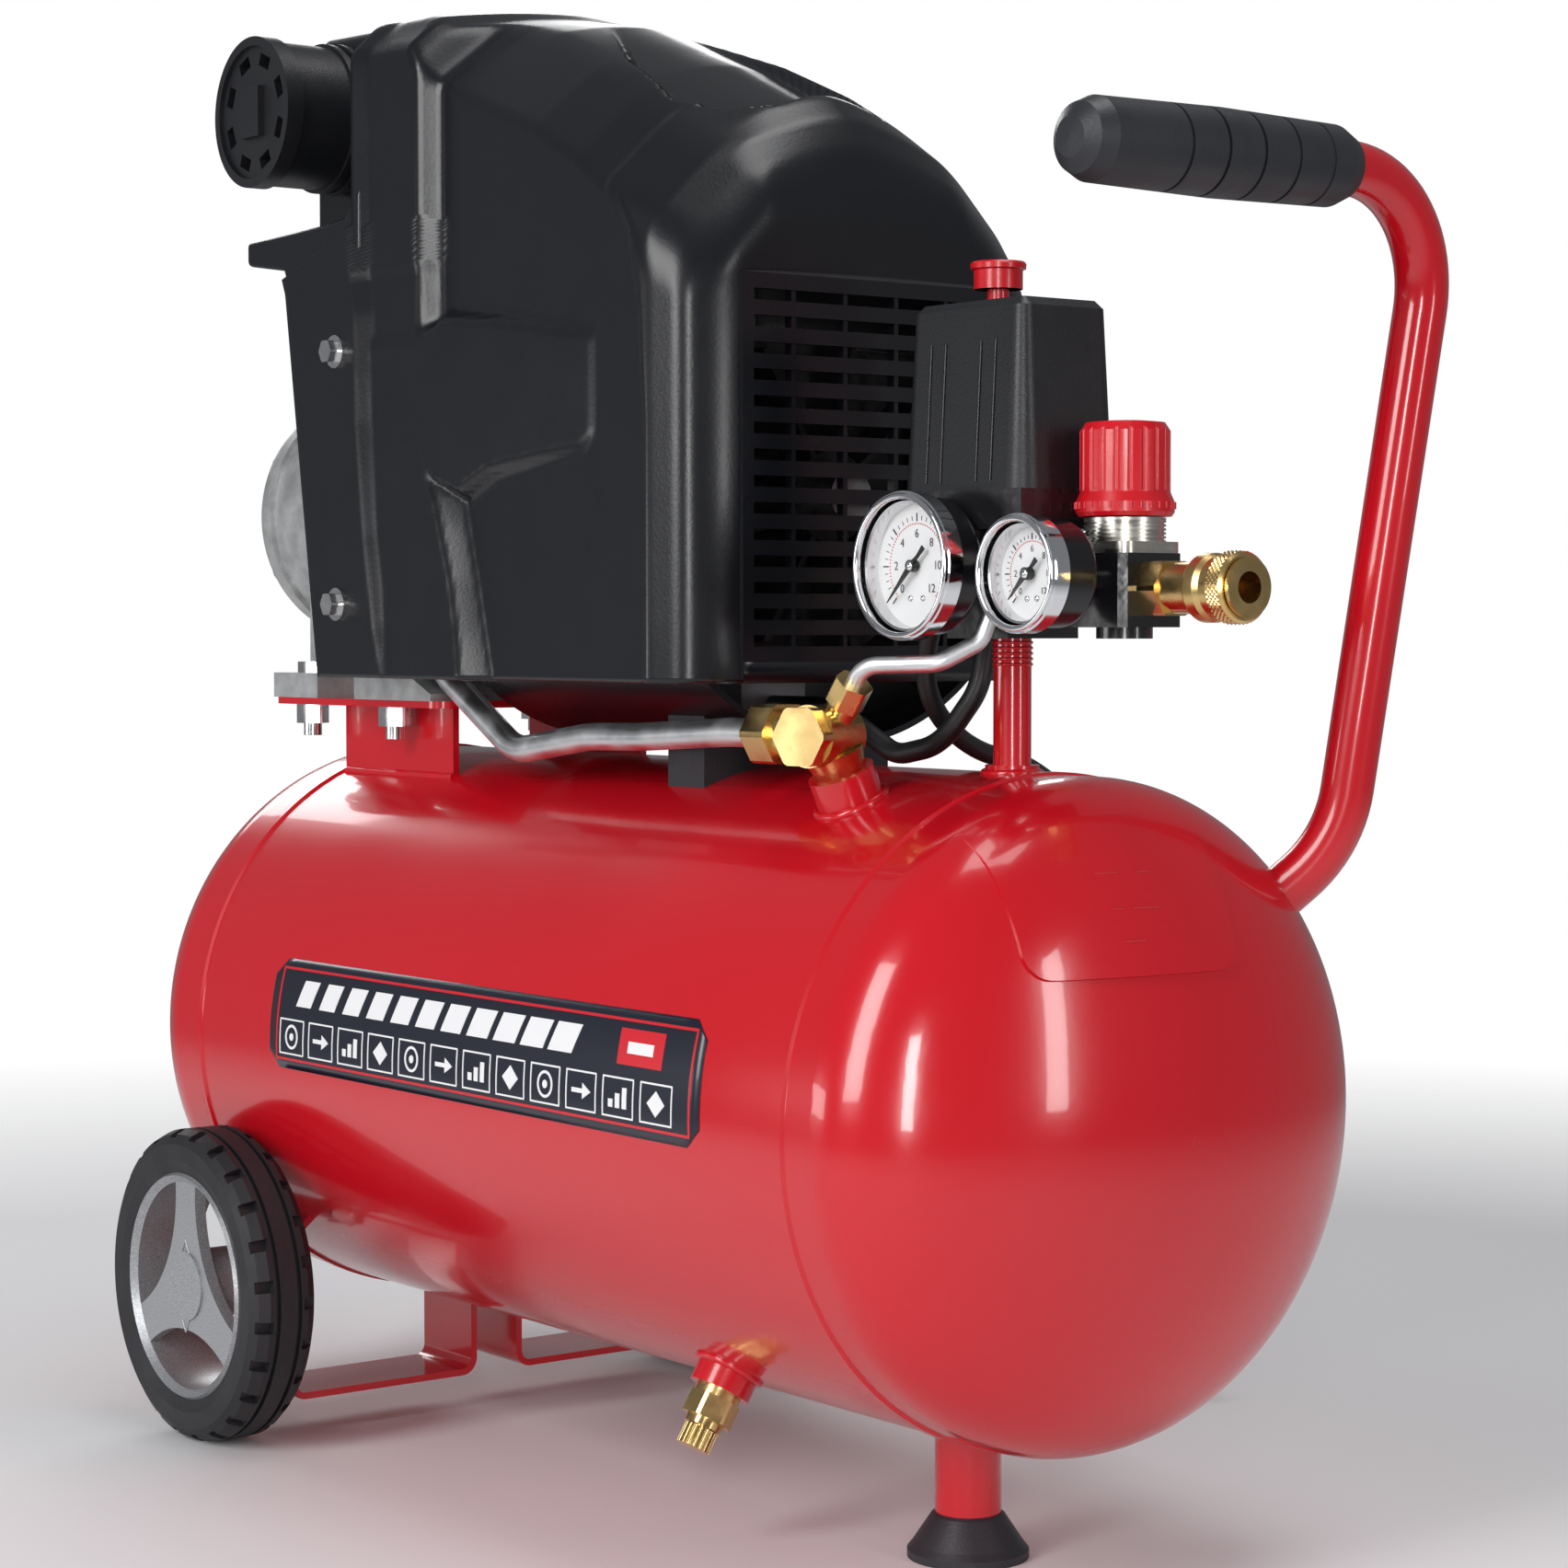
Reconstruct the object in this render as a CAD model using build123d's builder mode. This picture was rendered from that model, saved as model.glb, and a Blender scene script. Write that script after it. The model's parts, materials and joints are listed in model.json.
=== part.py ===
from build123d import *
import math
import os

os.makedirs("parts", exist_ok=True)

# ---------------------------------------------------------------- driving dimensions, millimetres
# X runs along the tank (+X is the handle and coupler end), -Y is the gauge side, the floor is z = 0.
TANK_R = 123.0            # outside radius of the 24 litre tank
TANK_WALL = 2.5
TANK_Z = 172.6            # height of the tank's axis
SEAM_X = 209.5            # half length of the rolled barrel
HEAD_FLANGE = 18.0        # straight flange of a dished head
HEAD_DEPTH = 61.0         # depth of its elliptical dish
BEAD = 1.0                # height of a weld bead
TANK_END_X = SEAM_X + HEAD_FLANGE + HEAD_DEPTH

WHEEL_X = -180.0
WHEEL_R = 67.0
WHEEL_Z = WHEEL_R
WHEEL_IN = 114.0          # inner face of a tyre, from the middle plane
WHEEL_OUT = 148.0         # outer face of a tyre
RIM_R = 48.5
AXLE_R = 6.0
RUN_GAP = 0.08            # radial clearance of a running fit
STRAP = 3.0               # sheet thickness of the wheel straps
STRAP_W = 40.0
STRAP_Y = 104.0           # middle of the strap's outer leg

FOOT_X = 167.0            # front foot
RISER_X = 191.0           # pipe from the tank to the pressure switch
RISER_TOP = 345.0
VALVE_X = 158.0           # check valve
VALVE_ANGLE = 23.7        # its lean from vertical, towards the gauge side
VALVE_R = 149.5           # distance of its centre from the tank's axis
DRAIN_X = 104.0
DRAIN_ANGLE = 32.0        # lean of the drain from straight down

MOTOR_Z = 400.0           # height of the motor's shaft
PUMP_X = -203.0           # cylinder axis
PLATE_Z = 315.0           # underside of the pump's mounting plate
PLATE_T = 3.0
CRANK = 20.0              # crank radius, half the stroke
BORE_R = 23.5
FAN_X = 62.0

SHROUD_FACE_X = 109.0
SHROUD_END_X = -244.0
SHROUD_Y = 92.0
SHROUD_Z = 328.0          # lower edge
SHROUD_TOP = 616.0
SHROUD_WALL = 3.0
NOTCH_X = -127.0          # the corner left open for the intake filter
NOTCH_Y = -42.0
NOTCH_Z = 522.0
GRILLE_Y = 62.0
GRILLE_Z = (336.0, 482.0)
SLOTS = 14
SLOT_PITCH = 10.0
SLOT_H = 4.3

SWITCH_Y = -9.0           # middle of the pressure switch
SWITCH_W = 68.0
SWITCH_D = 48.0
SWITCH_Z = (398.0, 466.0)

REG_X = 251.0             # regulator axis
REG_Z = 362.5             # height of the outlet
COUPLER_END = 313.0

GRIP_X = 294.0
GRIP_Z = 511.0
HANDLE_R = 9.75

CORD_R = 3.75             # mains cord
COIL_AT = (-75.0, 215.0)  # middle of the stored coil
COIL_R = (33.5, 48.5)
COIL_H = 22.5

FRAME_X = (TANK_END_X - COUPLER_END) / 2   # moves the origin under the middle of the machine


# ---------------------------------------------------------------- helpers
def write(name, piece):
    """Move a finished piece to the model's origin, label it and write its STEP file."""
    placed = piece.part.moved(Location((FRAME_X, 0, 0)))
    placed.label = name
    export_step(placed, f"parts/{name}.step")


def write_group(name, solids):
    """Write several separate solids, such as a bolt and its nut, as one node."""
    placed = Compound(children=[solid.moved(Location((FRAME_X, 0, 0))) for solid in solids])
    placed.label = name
    export_step(placed, f"parts/{name}.step")


def bar(plane, radius, length, bore=0.0, mode=Mode.ADD):
    """Add a round bar, or a tube, that starts on a plane and runs along its normal."""
    with BuildSketch(plane) as profile:
        Circle(radius)
        if bore:
            Circle(bore, mode=Mode.SUBTRACT)
    extrude(profile.sketch, amount=length, mode=mode)


def hexagon(plane, flats, length, bore=0.0):
    """Add a hexagon bar of a width across flats, its corners turned off."""
    corner = flats / math.sqrt(3)
    with BuildSketch(plane) as profile:
        RegularPolygon(radius=flats / 2, side_count=6, major_radius=False)
        Circle(corner - flats / 40, mode=Mode.INTERSECT)
        if bore:
            Circle(bore, mode=Mode.SUBTRACT)
    extrude(profile.sketch, amount=length)


def box(x, y, z, mode=Mode.ADD):
    """Add a box between three pairs of coordinates."""
    with BuildSketch(Plane.XY.offset(z[0])) as profile:
        with Locations(((x[0] + x[1]) / 2, (y[0] + y[1]) / 2)):
            Rectangle(x[1] - x[0], y[1] - y[0])
    extrude(profile.sketch, amount=z[1] - z[0], mode=mode)


def along_x(x, y=0.0, z=0.0):
    """Plane at a point, facing +X, its local axes along Y and Z."""
    return Plane(origin=(x, y, z), x_dir=(0, 1, 0), z_dir=(1, 0, 0))


def along_y(x, y, z, sign=1):
    """Plane at a point, facing +Y or -Y."""
    return Plane(origin=(x, y, z), x_dir=(1, 0, 0), z_dir=(0, sign, 0))


def up(x, y, z):
    """Plane at a point, facing +Z."""
    return Plane(origin=(x, y, z), x_dir=(1, 0, 0), z_dir=(0, 0, 1))


def radial(x, radius, lean, side=-1, down=False):
    """Plane square to the tank's radius, leaning from vertical towards -Y or +Y."""
    a = math.radians(lean)
    z = -math.cos(a) if down else math.cos(a)
    out = (0, side * math.sin(a), z)
    return Plane(origin=(x, out[1] * radius, TANK_Z + out[2] * radius), x_dir=(1, 0, 0), z_dir=out)


def spin_x(z):
    """Plane whose local axes are X and the height above z, for profiles turned about X."""
    return Plane(origin=(0, 0, z), x_dir=(1, 0, 0), z_dir=(0, -1, 0))


def swept(route, radii, radius, bore=0.0):
    """Add a tube of straight runs joined by tangent arcs."""
    with BuildLine() as line:
        FilletPolyline(*route, radius=radii)
    path = line.line
    start = Plane(origin=path @ 0, z_dir=path % 0)
    with BuildSketch(start) as outside:
        Circle(radius)
    sweep(outside.sketch, path=path)
    if bore:
        with BuildSketch(start) as inside:
            Circle(bore)
        sweep(inside.sketch, path=path, mode=Mode.SUBTRACT)
    return path


def both_sides(piece):
    """Add the mirror image of a piece about the machine's middle plane."""
    add(mirror(piece, about=Plane.XZ, mode=Mode.PRIVATE))


# ---------------------------------------------------------------- air tank
HEAD_X = SEAM_X + HEAD_FLANGE

with BuildPart() as tank_volume:      # outside of the whole tank, used only to cut other pieces
    with BuildSketch(spin_x(TANK_Z)):
        with BuildLine():
            Polyline((-HEAD_X, TANK_R), (HEAD_X, TANK_R))
            EllipticalCenterArc((HEAD_X, 0), HEAD_DEPTH, TANK_R, start_angle=0, arc_size=90)
            Line((HEAD_X + HEAD_DEPTH, 0), (-HEAD_X - HEAD_DEPTH, 0))
            EllipticalCenterArc((-HEAD_X, 0), HEAD_DEPTH, TANK_R, start_angle=90, arc_size=90)
        make_face()
    revolve(axis=Axis((0, 0, TANK_Z), (1, 0, 0)))

with BuildPart() as tank_barrel:
    with BuildSketch(spin_x(TANK_Z)):
        with BuildLine():
            Polyline(
                (-SEAM_X, TANK_R - TANK_WALL),
                (-SEAM_X, TANK_R + BEAD),
                (-SEAM_X + 3, TANK_R + BEAD),
                (-SEAM_X + 4, TANK_R),
                (SEAM_X - 4, TANK_R),
                (SEAM_X - 3, TANK_R + BEAD),
                (SEAM_X, TANK_R + BEAD),
                (SEAM_X, TANK_R - TANK_WALL),
                close=True,
            )
        make_face()
    revolve(axis=Axis((0, 0, TANK_Z), (1, 0, 0)))
    bar(radial(RISER_X, TANK_R - 8, 0), 4, 16, mode=Mode.SUBTRACT)
    bar(radial(VALVE_X, TANK_R - 8, VALVE_ANGLE), 6, 16, mode=Mode.SUBTRACT)
    bar(radial(DRAIN_X, TANK_R - 8, DRAIN_ANGLE, down=True), 4, 16, mode=Mode.SUBTRACT)
write("tank_barrel", tank_barrel)

with BuildPart() as tank_head_right:
    with BuildSketch(spin_x(TANK_Z)):
        with BuildLine():
            EllipticalCenterArc((HEAD_X, 0), HEAD_DEPTH, TANK_R, start_angle=0, arc_size=90)
            Polyline(
                (HEAD_X, TANK_R),
                (SEAM_X + 4, TANK_R),
                (SEAM_X + 3, TANK_R + BEAD),
                (SEAM_X, TANK_R + BEAD),
                (SEAM_X, TANK_R - TANK_WALL),
                (HEAD_X, TANK_R - TANK_WALL),
            )
            EllipticalCenterArc(
                (HEAD_X, 0), HEAD_DEPTH - TANK_WALL, TANK_R - TANK_WALL, start_angle=0, arc_size=90,
            )
            Line((HEAD_X + HEAD_DEPTH - TANK_WALL, 0), (HEAD_X + HEAD_DEPTH, 0))
        make_face()
    revolve(axis=Axis((0, 0, TANK_Z), (1, 0, 0)))
with BuildPart() as tank_head_left:
    add(mirror(tank_head_right.part, about=Plane.YZ, mode=Mode.PRIVATE))
write("tank_head_left", tank_head_left)

with BuildPart() as stamp_pad:        # raised pad where a pressure vessel is stamped
    with BuildSketch(along_x(HEAD_X + 10, -18, 256)):
        RectangleRounded(92, 54, 9)
    extrude(amount=HEAD_DEPTH)
    add(tank_volume.part.moved(Location((1.5, 0, 0))), mode=Mode.INTERSECT)
    add(tank_volume.part, mode=Mode.SUBTRACT)
write_group("tank_head_right", [tank_head_right.part.solid(), stamp_pad.part.solid()])

with BuildPart() as tank_fittings:    # riser pipe, two threaded bosses and the foot's post, welded on
    bar(up(RISER_X, 0, TANK_Z + TANK_R - 3), 7, RISER_TOP - TANK_Z - TANK_R + 3, bore=4)
    bar(up(RISER_X, 0, TANK_Z + TANK_R - 3), 10, 6, bore=4)
    bar(radial(VALVE_X, TANK_R - 4, VALVE_ANGLE), 12.5, 16, bore=6)
    bar(radial(DRAIN_X, TANK_R - 4, DRAIN_ANGLE, down=True), 12, 13, bore=4)
    bar(up(FOOT_X, 0, 17), 12.5, 60, bore=10)
    add(tank_volume.part, mode=Mode.SUBTRACT)
write("tank_fittings", tank_fittings)

# ---------------------------------------------------------------- handle
handle_route = [(GRIP_X, -50, GRIP_Z), (GRIP_X, 114, GRIP_Z), (262.5, 97.3, 270), (240.5, 77.3, 243.2)]
with BuildPart() as handle_tube:
    swept(handle_route, [45, 55], HANDLE_R, bore=HANDLE_R - 2)
    add(tank_volume.part, mode=Mode.SUBTRACT)
write("handle_tube", handle_tube)

GRIP_R = 15.5
GRIP_END = 63.0
with BuildPart() as handle_grip:
    with BuildSketch(Plane(origin=(GRIP_X, 0, GRIP_Z), x_dir=(0, 1, 0), z_dir=(1, 0, 0))):
        with BuildLine():
            Polyline(
                (-50, 0), (-50, HANDLE_R), (GRIP_END, HANDLE_R), (GRIP_END, 11.5),
                (GRIP_END - 7, 14.5), (0, GRIP_R), (-56, GRIP_R - 1), (-62, 12), (-65.5, 7), (-66.5, 0),
                close=True,
            )
        make_face()
    revolve(axis=Axis((GRIP_X, 0, GRIP_Z), (0, 1, 0)))
    for i in range(5):
        bar(along_y(GRIP_X, 44 - 17 * i, GRIP_Z), GRIP_R + 1, 1.4, bore=GRIP_R - 1.2, mode=Mode.SUBTRACT)
write("handle_grip", handle_grip)

# ---------------------------------------------------------------- pump bracket and front foot
PLATE_X = (-240.0, -98.0)
PLATE_Y = 68.0
WALL_X = (-204.0, -114.0)
WALL_Y = 49.0
BOLT_X = (-217.0, -146.0)
BOLT_Y = 60.0

with BuildPart() as pump_bracket:     # folded sheet: a plate on two walls welded to the tank
    with BuildSketch(Plane.XY.offset(PLATE_Z)):
        with Locations(((PLATE_X[0] + PLATE_X[1]) / 2, 0)):
            RectangleRounded(PLATE_X[1] - PLATE_X[0], 2 * PLATE_Y, 8)
        for x in BOLT_X:
            with Locations((x, -BOLT_Y), (x, BOLT_Y)):
                Circle(4.5, mode=Mode.SUBTRACT)
    extrude(amount=PLATE_T)
    for side in (-1, 1):
        y = side * WALL_Y
        box(WALL_X, (y - PLATE_T / 2, y + PLATE_T / 2), (TANK_Z + 90, PLATE_Z))
    add(tank_volume.part, mode=Mode.SUBTRACT)
write("pump_bracket", pump_bracket)

with BuildPart() as foot_rubber:
    with BuildSketch(Plane(origin=(FOOT_X, 0, 0), x_dir=(1, 0, 0), z_dir=(0, -1, 0))):
        with BuildLine():
            Polyline(
                (0, 0), (23, 0), (23, 3), (21, 5.5), (14, 16), (13, 17), (10, 17), (10, 32), (0, 32),
                close=True,
            )
        make_face()
    revolve(axis=Axis((FOOT_X, 0, 0), (0, 0, 1)))
write("foot_rubber", foot_rubber)

# ---------------------------------------------------------------- wheels and their straps
strap_route = [(90, 98), (STRAP_Y, 86), (STRAP_Y, 16.5), (12, 16.5), (12, 60)]

with BuildPart() as strap_left:
    with BuildSketch(Plane.YZ.offset(WHEEL_X - STRAP_W / 2)):
        with BuildLine() as strap_line:
            FilletPolyline(*[(-y, z) for y, z in strap_route], radius=[5, 6, 6])
        trace(line_width=STRAP)
    extrude(amount=STRAP_W)
    add(tank_volume.part, mode=Mode.SUBTRACT)
    bar(along_y(WHEEL_X, -STRAP_Y - 5, WHEEL_Z), AXLE_R, 10, mode=Mode.SUBTRACT)

with BuildPart() as wheel_straps:
    add(strap_left.part)
    both_sides(strap_left.part)
write("wheel_straps", wheel_straps)

OUT = -1                              # the left wheel is on the gauge side
with BuildPart() as axle_left:        # flanged stub axle with its nut behind the strap
    bar(along_y(WHEEL_X, -92, WHEEL_Z, OUT), AXLE_R, 47)
    bar(along_y(WHEEL_X, -STRAP_Y - STRAP / 2, WHEEL_Z, OUT), 11, 3, bore=AXLE_R)
with BuildPart() as nut_left:
    hexagon(along_y(WHEEL_X, -STRAP_Y + STRAP / 2, WHEEL_Z), 18, 8, bore=AXLE_R)
wheel_axles = [axle_left.part.solid(), nut_left.part.solid()]
wheel_axles += [mirror(piece, about=Plane.XZ) for piece in wheel_axles]
write_group("wheel_axles", wheel_axles)

HUB_IN = 109.2
HUB_OUT = 146.0
SPOKE_R = 46.0                        # outer end of the spokes
SPOKE_W = 18.0                        # their width there
HUB_R = 19.0                          # how near the openings come to the axle
wheel_plane = Plane(origin=(WHEEL_X, 0, WHEEL_Z), x_dir=(1, 0, 0), z_dir=(0, 0, 1))
wheel_axis = Axis((WHEEL_X, 0, WHEEL_Z), (0, 1, 0))

with BuildPart() as wheel_rim_left:   # moulded rim with three broad spokes and a closed hub
    with BuildSketch(wheel_plane):
        with BuildLine():
            Polyline(
                (RIM_R - 4, -WHEEL_IN - 1), (RIM_R, -WHEEL_IN - 1), (RIM_R, -WHEEL_OUT + 2),
                (RIM_R - 1, -WHEEL_OUT + 0.5), (RIM_R - 4, -WHEEL_OUT + 3), close=True,
            )
        make_face()
    revolve(axis=wheel_axis)
    bar(along_y(WHEEL_X, -HUB_IN, WHEEL_Z, OUT), 15, HUB_OUT - HUB_IN)
    with BuildSketch(along_y(WHEEL_X, -HUB_OUT + 6, WHEEL_Z, OUT)):
        with BuildLine():
            for k in range(3):
                a = math.radians(90 + 120 * k)
                b = a + math.radians(120)
                half = SPOKE_W / 2 / SPOKE_R
                turns = (a - half, a + half, b - half)
                ends = [(SPOKE_R * math.cos(t), SPOKE_R * math.sin(t)) for t in turns]
                m = (a + b) / 2
                Line(ends[0], ends[1])
                ThreePointArc(ends[1], (HUB_R * math.cos(m), HUB_R * math.sin(m)), ends[2])
        make_face()
    extrude(amount=5)
    bar(along_y(WHEEL_X, -HUB_IN, WHEEL_Z, OUT), AXLE_R + RUN_GAP, 31, mode=Mode.SUBTRACT)
write("wheel_rim_left", wheel_rim_left)

with BuildPart() as wheel_tyre_left:  # solid rubber tyre with a block tread
    with BuildSketch(wheel_plane):
        with BuildLine():
            Polyline(
                (RIM_R, -WHEEL_IN - 1), (50, -WHEEL_IN), (54, -WHEEL_IN), (60, -WHEEL_IN - 2.5),
                (64, -WHEEL_IN - 5), (WHEEL_R, -WHEEL_IN - 9), (WHEEL_R, -WHEEL_OUT + 7),
                (65, -WHEEL_OUT + 2.5), (61, -WHEEL_OUT), (54, -WHEEL_OUT), (RIM_R, -WHEEL_OUT + 2),
                close=True,
            )
        make_face()
    revolve(axis=wheel_axis)
    for y in (-WHEEL_IN - 12, -WHEEL_IN - 22):
        bar(along_y(WHEEL_X, y, WHEEL_Z, OUT), WHEEL_R + 1, 2, bore=WHEEL_R - 2, mode=Mode.SUBTRACT)
    with BuildSketch(along_y(WHEEL_X, -WHEEL_IN + 1, WHEEL_Z, OUT)):
        with PolarLocations(WHEEL_R, 24):
            Rectangle(7, 5)
    extrude(amount=12, mode=Mode.SUBTRACT)
    with BuildSketch(along_y(WHEEL_X, -WHEEL_OUT + 9, WHEEL_Z, OUT)):
        with PolarLocations(WHEEL_R, 24, start_angle=7.5):
            Rectangle(7, 5)
    extrude(amount=12, mode=Mode.SUBTRACT)
write("wheel_tyre_left", wheel_tyre_left)

with BuildPart() as wheel_rim_right:
    both_sides(wheel_rim_left.part)
write("wheel_rim_right", wheel_rim_right)
with BuildPart() as wheel_tyre_right:
    both_sides(wheel_tyre_left.part)
write("wheel_tyre_right", wheel_tyre_right)

# ---------------------------------------------------------------- pressure switch
BLOCK = 17.0                          # half width of the cast manifold block
BASE_Z = (384.0, 398.0)
SWITCH_X = 199.0

with BuildPart() as switch_base:      # cast manifold block with the switch's base plate on it
    box((RISER_X - BLOCK, RISER_X + BLOCK), (-BLOCK, BLOCK), (RISER_TOP, BASE_Z[0]))
    box(
        (SWITCH_X - SWITCH_W / 2, SWITCH_X + SWITCH_W / 2),
        (SWITCH_Y - SWITCH_D / 2, SWITCH_Y + SWITCH_D / 2),
        BASE_Z,
    )
    bar(up(RISER_X, 0, BASE_Z[1]), 9, 14)
    box((SWITCH_X - 5, SWITCH_X + 26), (SWITCH_Y - 15, SWITCH_Y + 15), (BASE_Z[1], 425))
    bar(along_y(RISER_X, -BLOCK, 371, -1), 8, 11)
    bar(along_x(RISER_X + BLOCK, 0, REG_Z), 7, REG_X - 15 - RISER_X - BLOCK)
    bar(along_x(RISER_X, 0, REG_Z), 4, 60, mode=Mode.SUBTRACT)
    bar(up(RISER_X, 0, RISER_TOP), 4, 30, mode=Mode.SUBTRACT)
write("switch_base", switch_base)

KNOB_AT = (186.0, -3.0)
with BuildPart() as switch_cover:
    with BuildSketch(Plane.XY.offset(SWITCH_Z[0])):
        with Locations((SWITCH_X, SWITCH_Y)):
            RectangleRounded(SWITCH_W, SWITCH_D, 8)
    extrude(amount=SWITCH_Z[1] - SWITCH_Z[0], taper=3)
    chamfer(faces().sort_by(Axis.Z)[-1].edges(), 3)
    with BuildSketch(Plane.XY.offset(SWITCH_Z[0])):
        with Locations((SWITCH_X, SWITCH_Y)):
            RectangleRounded(SWITCH_W - 5, SWITCH_D - 5, 5.5)
    extrude(amount=SWITCH_Z[1] - SWITCH_Z[0] - 3, taper=3, mode=Mode.SUBTRACT)
    bar(up(*KNOB_AT, SWITCH_Z[1] - 4), 4 + RUN_GAP, 6, mode=Mode.SUBTRACT)
write("switch_cover", switch_cover)

KNOB_TRAVEL = 6.0
with BuildPart() as switch_knob:      # pulled up to run, pushed down to stop; shown up
    bar(up(*KNOB_AT, SWITCH_Z[1] + KNOB_TRAVEL + 0.5), 9, 9)
    bar(up(*KNOB_AT, SWITCH_Z[1] - 14), 4, KNOB_TRAVEL + 15)
write("switch_knob", switch_knob)

# ---------------------------------------------------------------- cable glands and cables
CORD_EXIT_DIR = Vector(-0.5, 0, -0.866).normalized()
CORD_ROOT = Vector(RISER_X - BLOCK + 1.5, -9, 384)
CORD_EXIT = CORD_ROOT + CORD_EXIT_DIR * 34
MOTOR_CABLE_R = 4.0
MOTOR_GLAND_Z = 374.0
MOTOR_GLAND_X = 167.0
MOTOR_GLAND_Y = 9.5

with BuildPart() as mains_gland:      # gland nut and tapered strain relief of the mains cord
    root = Plane(origin=CORD_ROOT, z_dir=CORD_EXIT_DIR)
    tip = Plane(origin=CORD_ROOT + CORD_EXIT_DIR * 33, z_dir=CORD_EXIT_DIR)
    hexagon(root, 16, 10)
    with BuildSketch(root.offset(10)):
        Circle(6.5)
    with BuildSketch(root.offset(34)):
        Circle(5)
    loft()
    bar(root, CORD_R, 60, mode=Mode.SUBTRACT)
    bar(root, CORD_R, 33)
    add(switch_base.part, mode=Mode.SUBTRACT)

with BuildPart() as motor_gland:
    hexagon(up(MOTOR_GLAND_X, MOTOR_GLAND_Y, MOTOR_GLAND_Z), 14, BASE_Z[0] - MOTOR_GLAND_Z)
    bar(up(MOTOR_GLAND_X, MOTOR_GLAND_Y, MOTOR_GLAND_Z - 6), 5.5, 6)
    add(switch_base.part, mode=Mode.SUBTRACT)
write_group("cable_glands", [mains_gland.part.solid(), motor_gland.part.solid()])

motor_cable_route = [
    (MOTOR_GLAND_X, MOTOR_GLAND_Y, MOTOR_GLAND_Z - 6),
    (MOTOR_GLAND_X, MOTOR_GLAND_Y, 350), (166.5, 5, 326), (154, -3, 305), (130, -5, 300.5), (104, -4, 312),
    (78, 0, 318), (46, 0, 318),
]
with BuildPart() as motor_cable:
    swept(motor_cable_route, [100, 25, 22, 20, 30, 60], MOTOR_CABLE_R)
write("motor_cable", motor_cable)

# ---------------------------------------------------------------- gauges
# x and z of the axis, y of the front face, bezel radius, length from face to case back, y of the stem's end
TANK_GAUGE = (RISER_X, 371.0, -54.0, 26.8, 20.0, -28.0)
LINE_GAUGE = (REG_X, 367.5, -52.0, 20.8, 24.0, -15.0)
GAUGES = (TANK_GAUGE, LINE_GAUGE)

with BuildPart() as gauge_cases:
    for x, z, face, radius, depth, stem in GAUGES:
        bar(along_y(x, face + 3.5, z), radius - 2, depth - 3.5)
        fillet(edges().filter_by_position(Axis.Y, face + depth - 0.01, face + depth + 0.01), 4)
        bar(along_y(x, face + 3.5, z), radius - 3.5, depth - 6, mode=Mode.SUBTRACT)
        bar(along_y(x, face + depth, z), 5, stem - face - depth)
write("gauge_cases", gauge_cases)
with BuildPart() as gauge_bezels:
    for x, z, face, radius, depth, stem in GAUGES:
        bar(along_y(x, face, z), radius - 0.5, 1.5, bore=radius - 2.8)
        bar(along_y(x, face + 1.5, z), radius, 6, bore=radius - 2)
write("gauge_bezels", gauge_bezels)
with BuildPart() as gauge_lenses:
    for x, z, face, radius, depth, stem in GAUGES:
        bar(along_y(x, face + 1.5, z), radius - 2, 2)
write("gauge_lenses", gauge_lenses)
with BuildPart() as gauge_dials:
    for x, z, face, radius, depth, stem in GAUGES:
        bar(along_y(x, face + 9, z), radius - 3.6, 1, bore=0.75)
write("gauge_dials", gauge_dials)


def needle(gauge):
    """Add a gauge's needle, pointing at zero, with its shaft through the dial."""
    x, z, face, radius, depth, stem = gauge
    swing = Plane(origin=(x, face + 6.2, z), x_dir=(1, 0, 0), z_dir=(0, -1, 0))
    with BuildSketch(swing) as blade:
        with BuildLine():
            r = radius - 8
            a = math.radians(225)
            across = (math.cos(a + math.pi / 2), math.sin(a + math.pi / 2))
            ahead = (math.cos(a), math.sin(a))
            Polyline(
                (ahead[0] * r, ahead[1] * r),
                (across[0] * 1.2, across[1] * 1.2),
                (-ahead[0] * r * 0.3, -ahead[1] * r * 0.3),
                (-across[0] * 1.2, -across[1] * 1.2),
                close=True,
            )
        make_face()
    extrude(blade.sketch, amount=0.7)
    bar(along_y(x, face + 5.2, z), 2.2, 3)
    bar(along_y(x, face + 8, z), 0.75 - 0.05, 4)


with BuildPart() as tank_gauge_needle:
    needle(TANK_GAUGE)
write("tank_gauge_needle", tank_gauge_needle)
with BuildPart() as line_gauge_needle:
    needle(LINE_GAUGE)
write("line_gauge_needle", line_gauge_needle)

# ---------------------------------------------------------------- regulator and coupler
with BuildPart() as regulator_body:
    box((REG_X - 15, REG_X + 15), (-15, 15), (349, 375))
    chamfer(edges().filter_by(Axis.Z), 2.5)
    bar(up(REG_X, 0, 345), 10, 4)
    bar(along_x(REG_X - 15, 0, REG_Z), 4, 30, mode=Mode.SUBTRACT)
    bar(up(REG_X, 0, 360), 9, 15, mode=Mode.SUBTRACT)
write("regulator_body", regulator_body)

STEM_R = 4.0
with BuildPart() as regulator_bonnet:
    with BuildSketch(Plane.XY.offset(375)) as flange:
        with Locations((REG_X, 0)):
            RectangleRounded(30, 29, 5)
            Circle(8, mode=Mode.SUBTRACT)
    extrude(flange.sketch, amount=4)
    bar(up(REG_X, 0, 379), 14.5, 7, bore=8)
    bar(up(REG_X, 0, 386), 14.5, 1.5, bore=STEM_R + RUN_GAP)
    for i in range(5):                # thread that the knob's cap runs over
        bar(up(REG_X, 0, 379.6 + 1.4 * i), 15.5, 0.7, bore=13.8, mode=Mode.SUBTRACT)
write("regulator_bonnet", regulator_bonnet)

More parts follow.
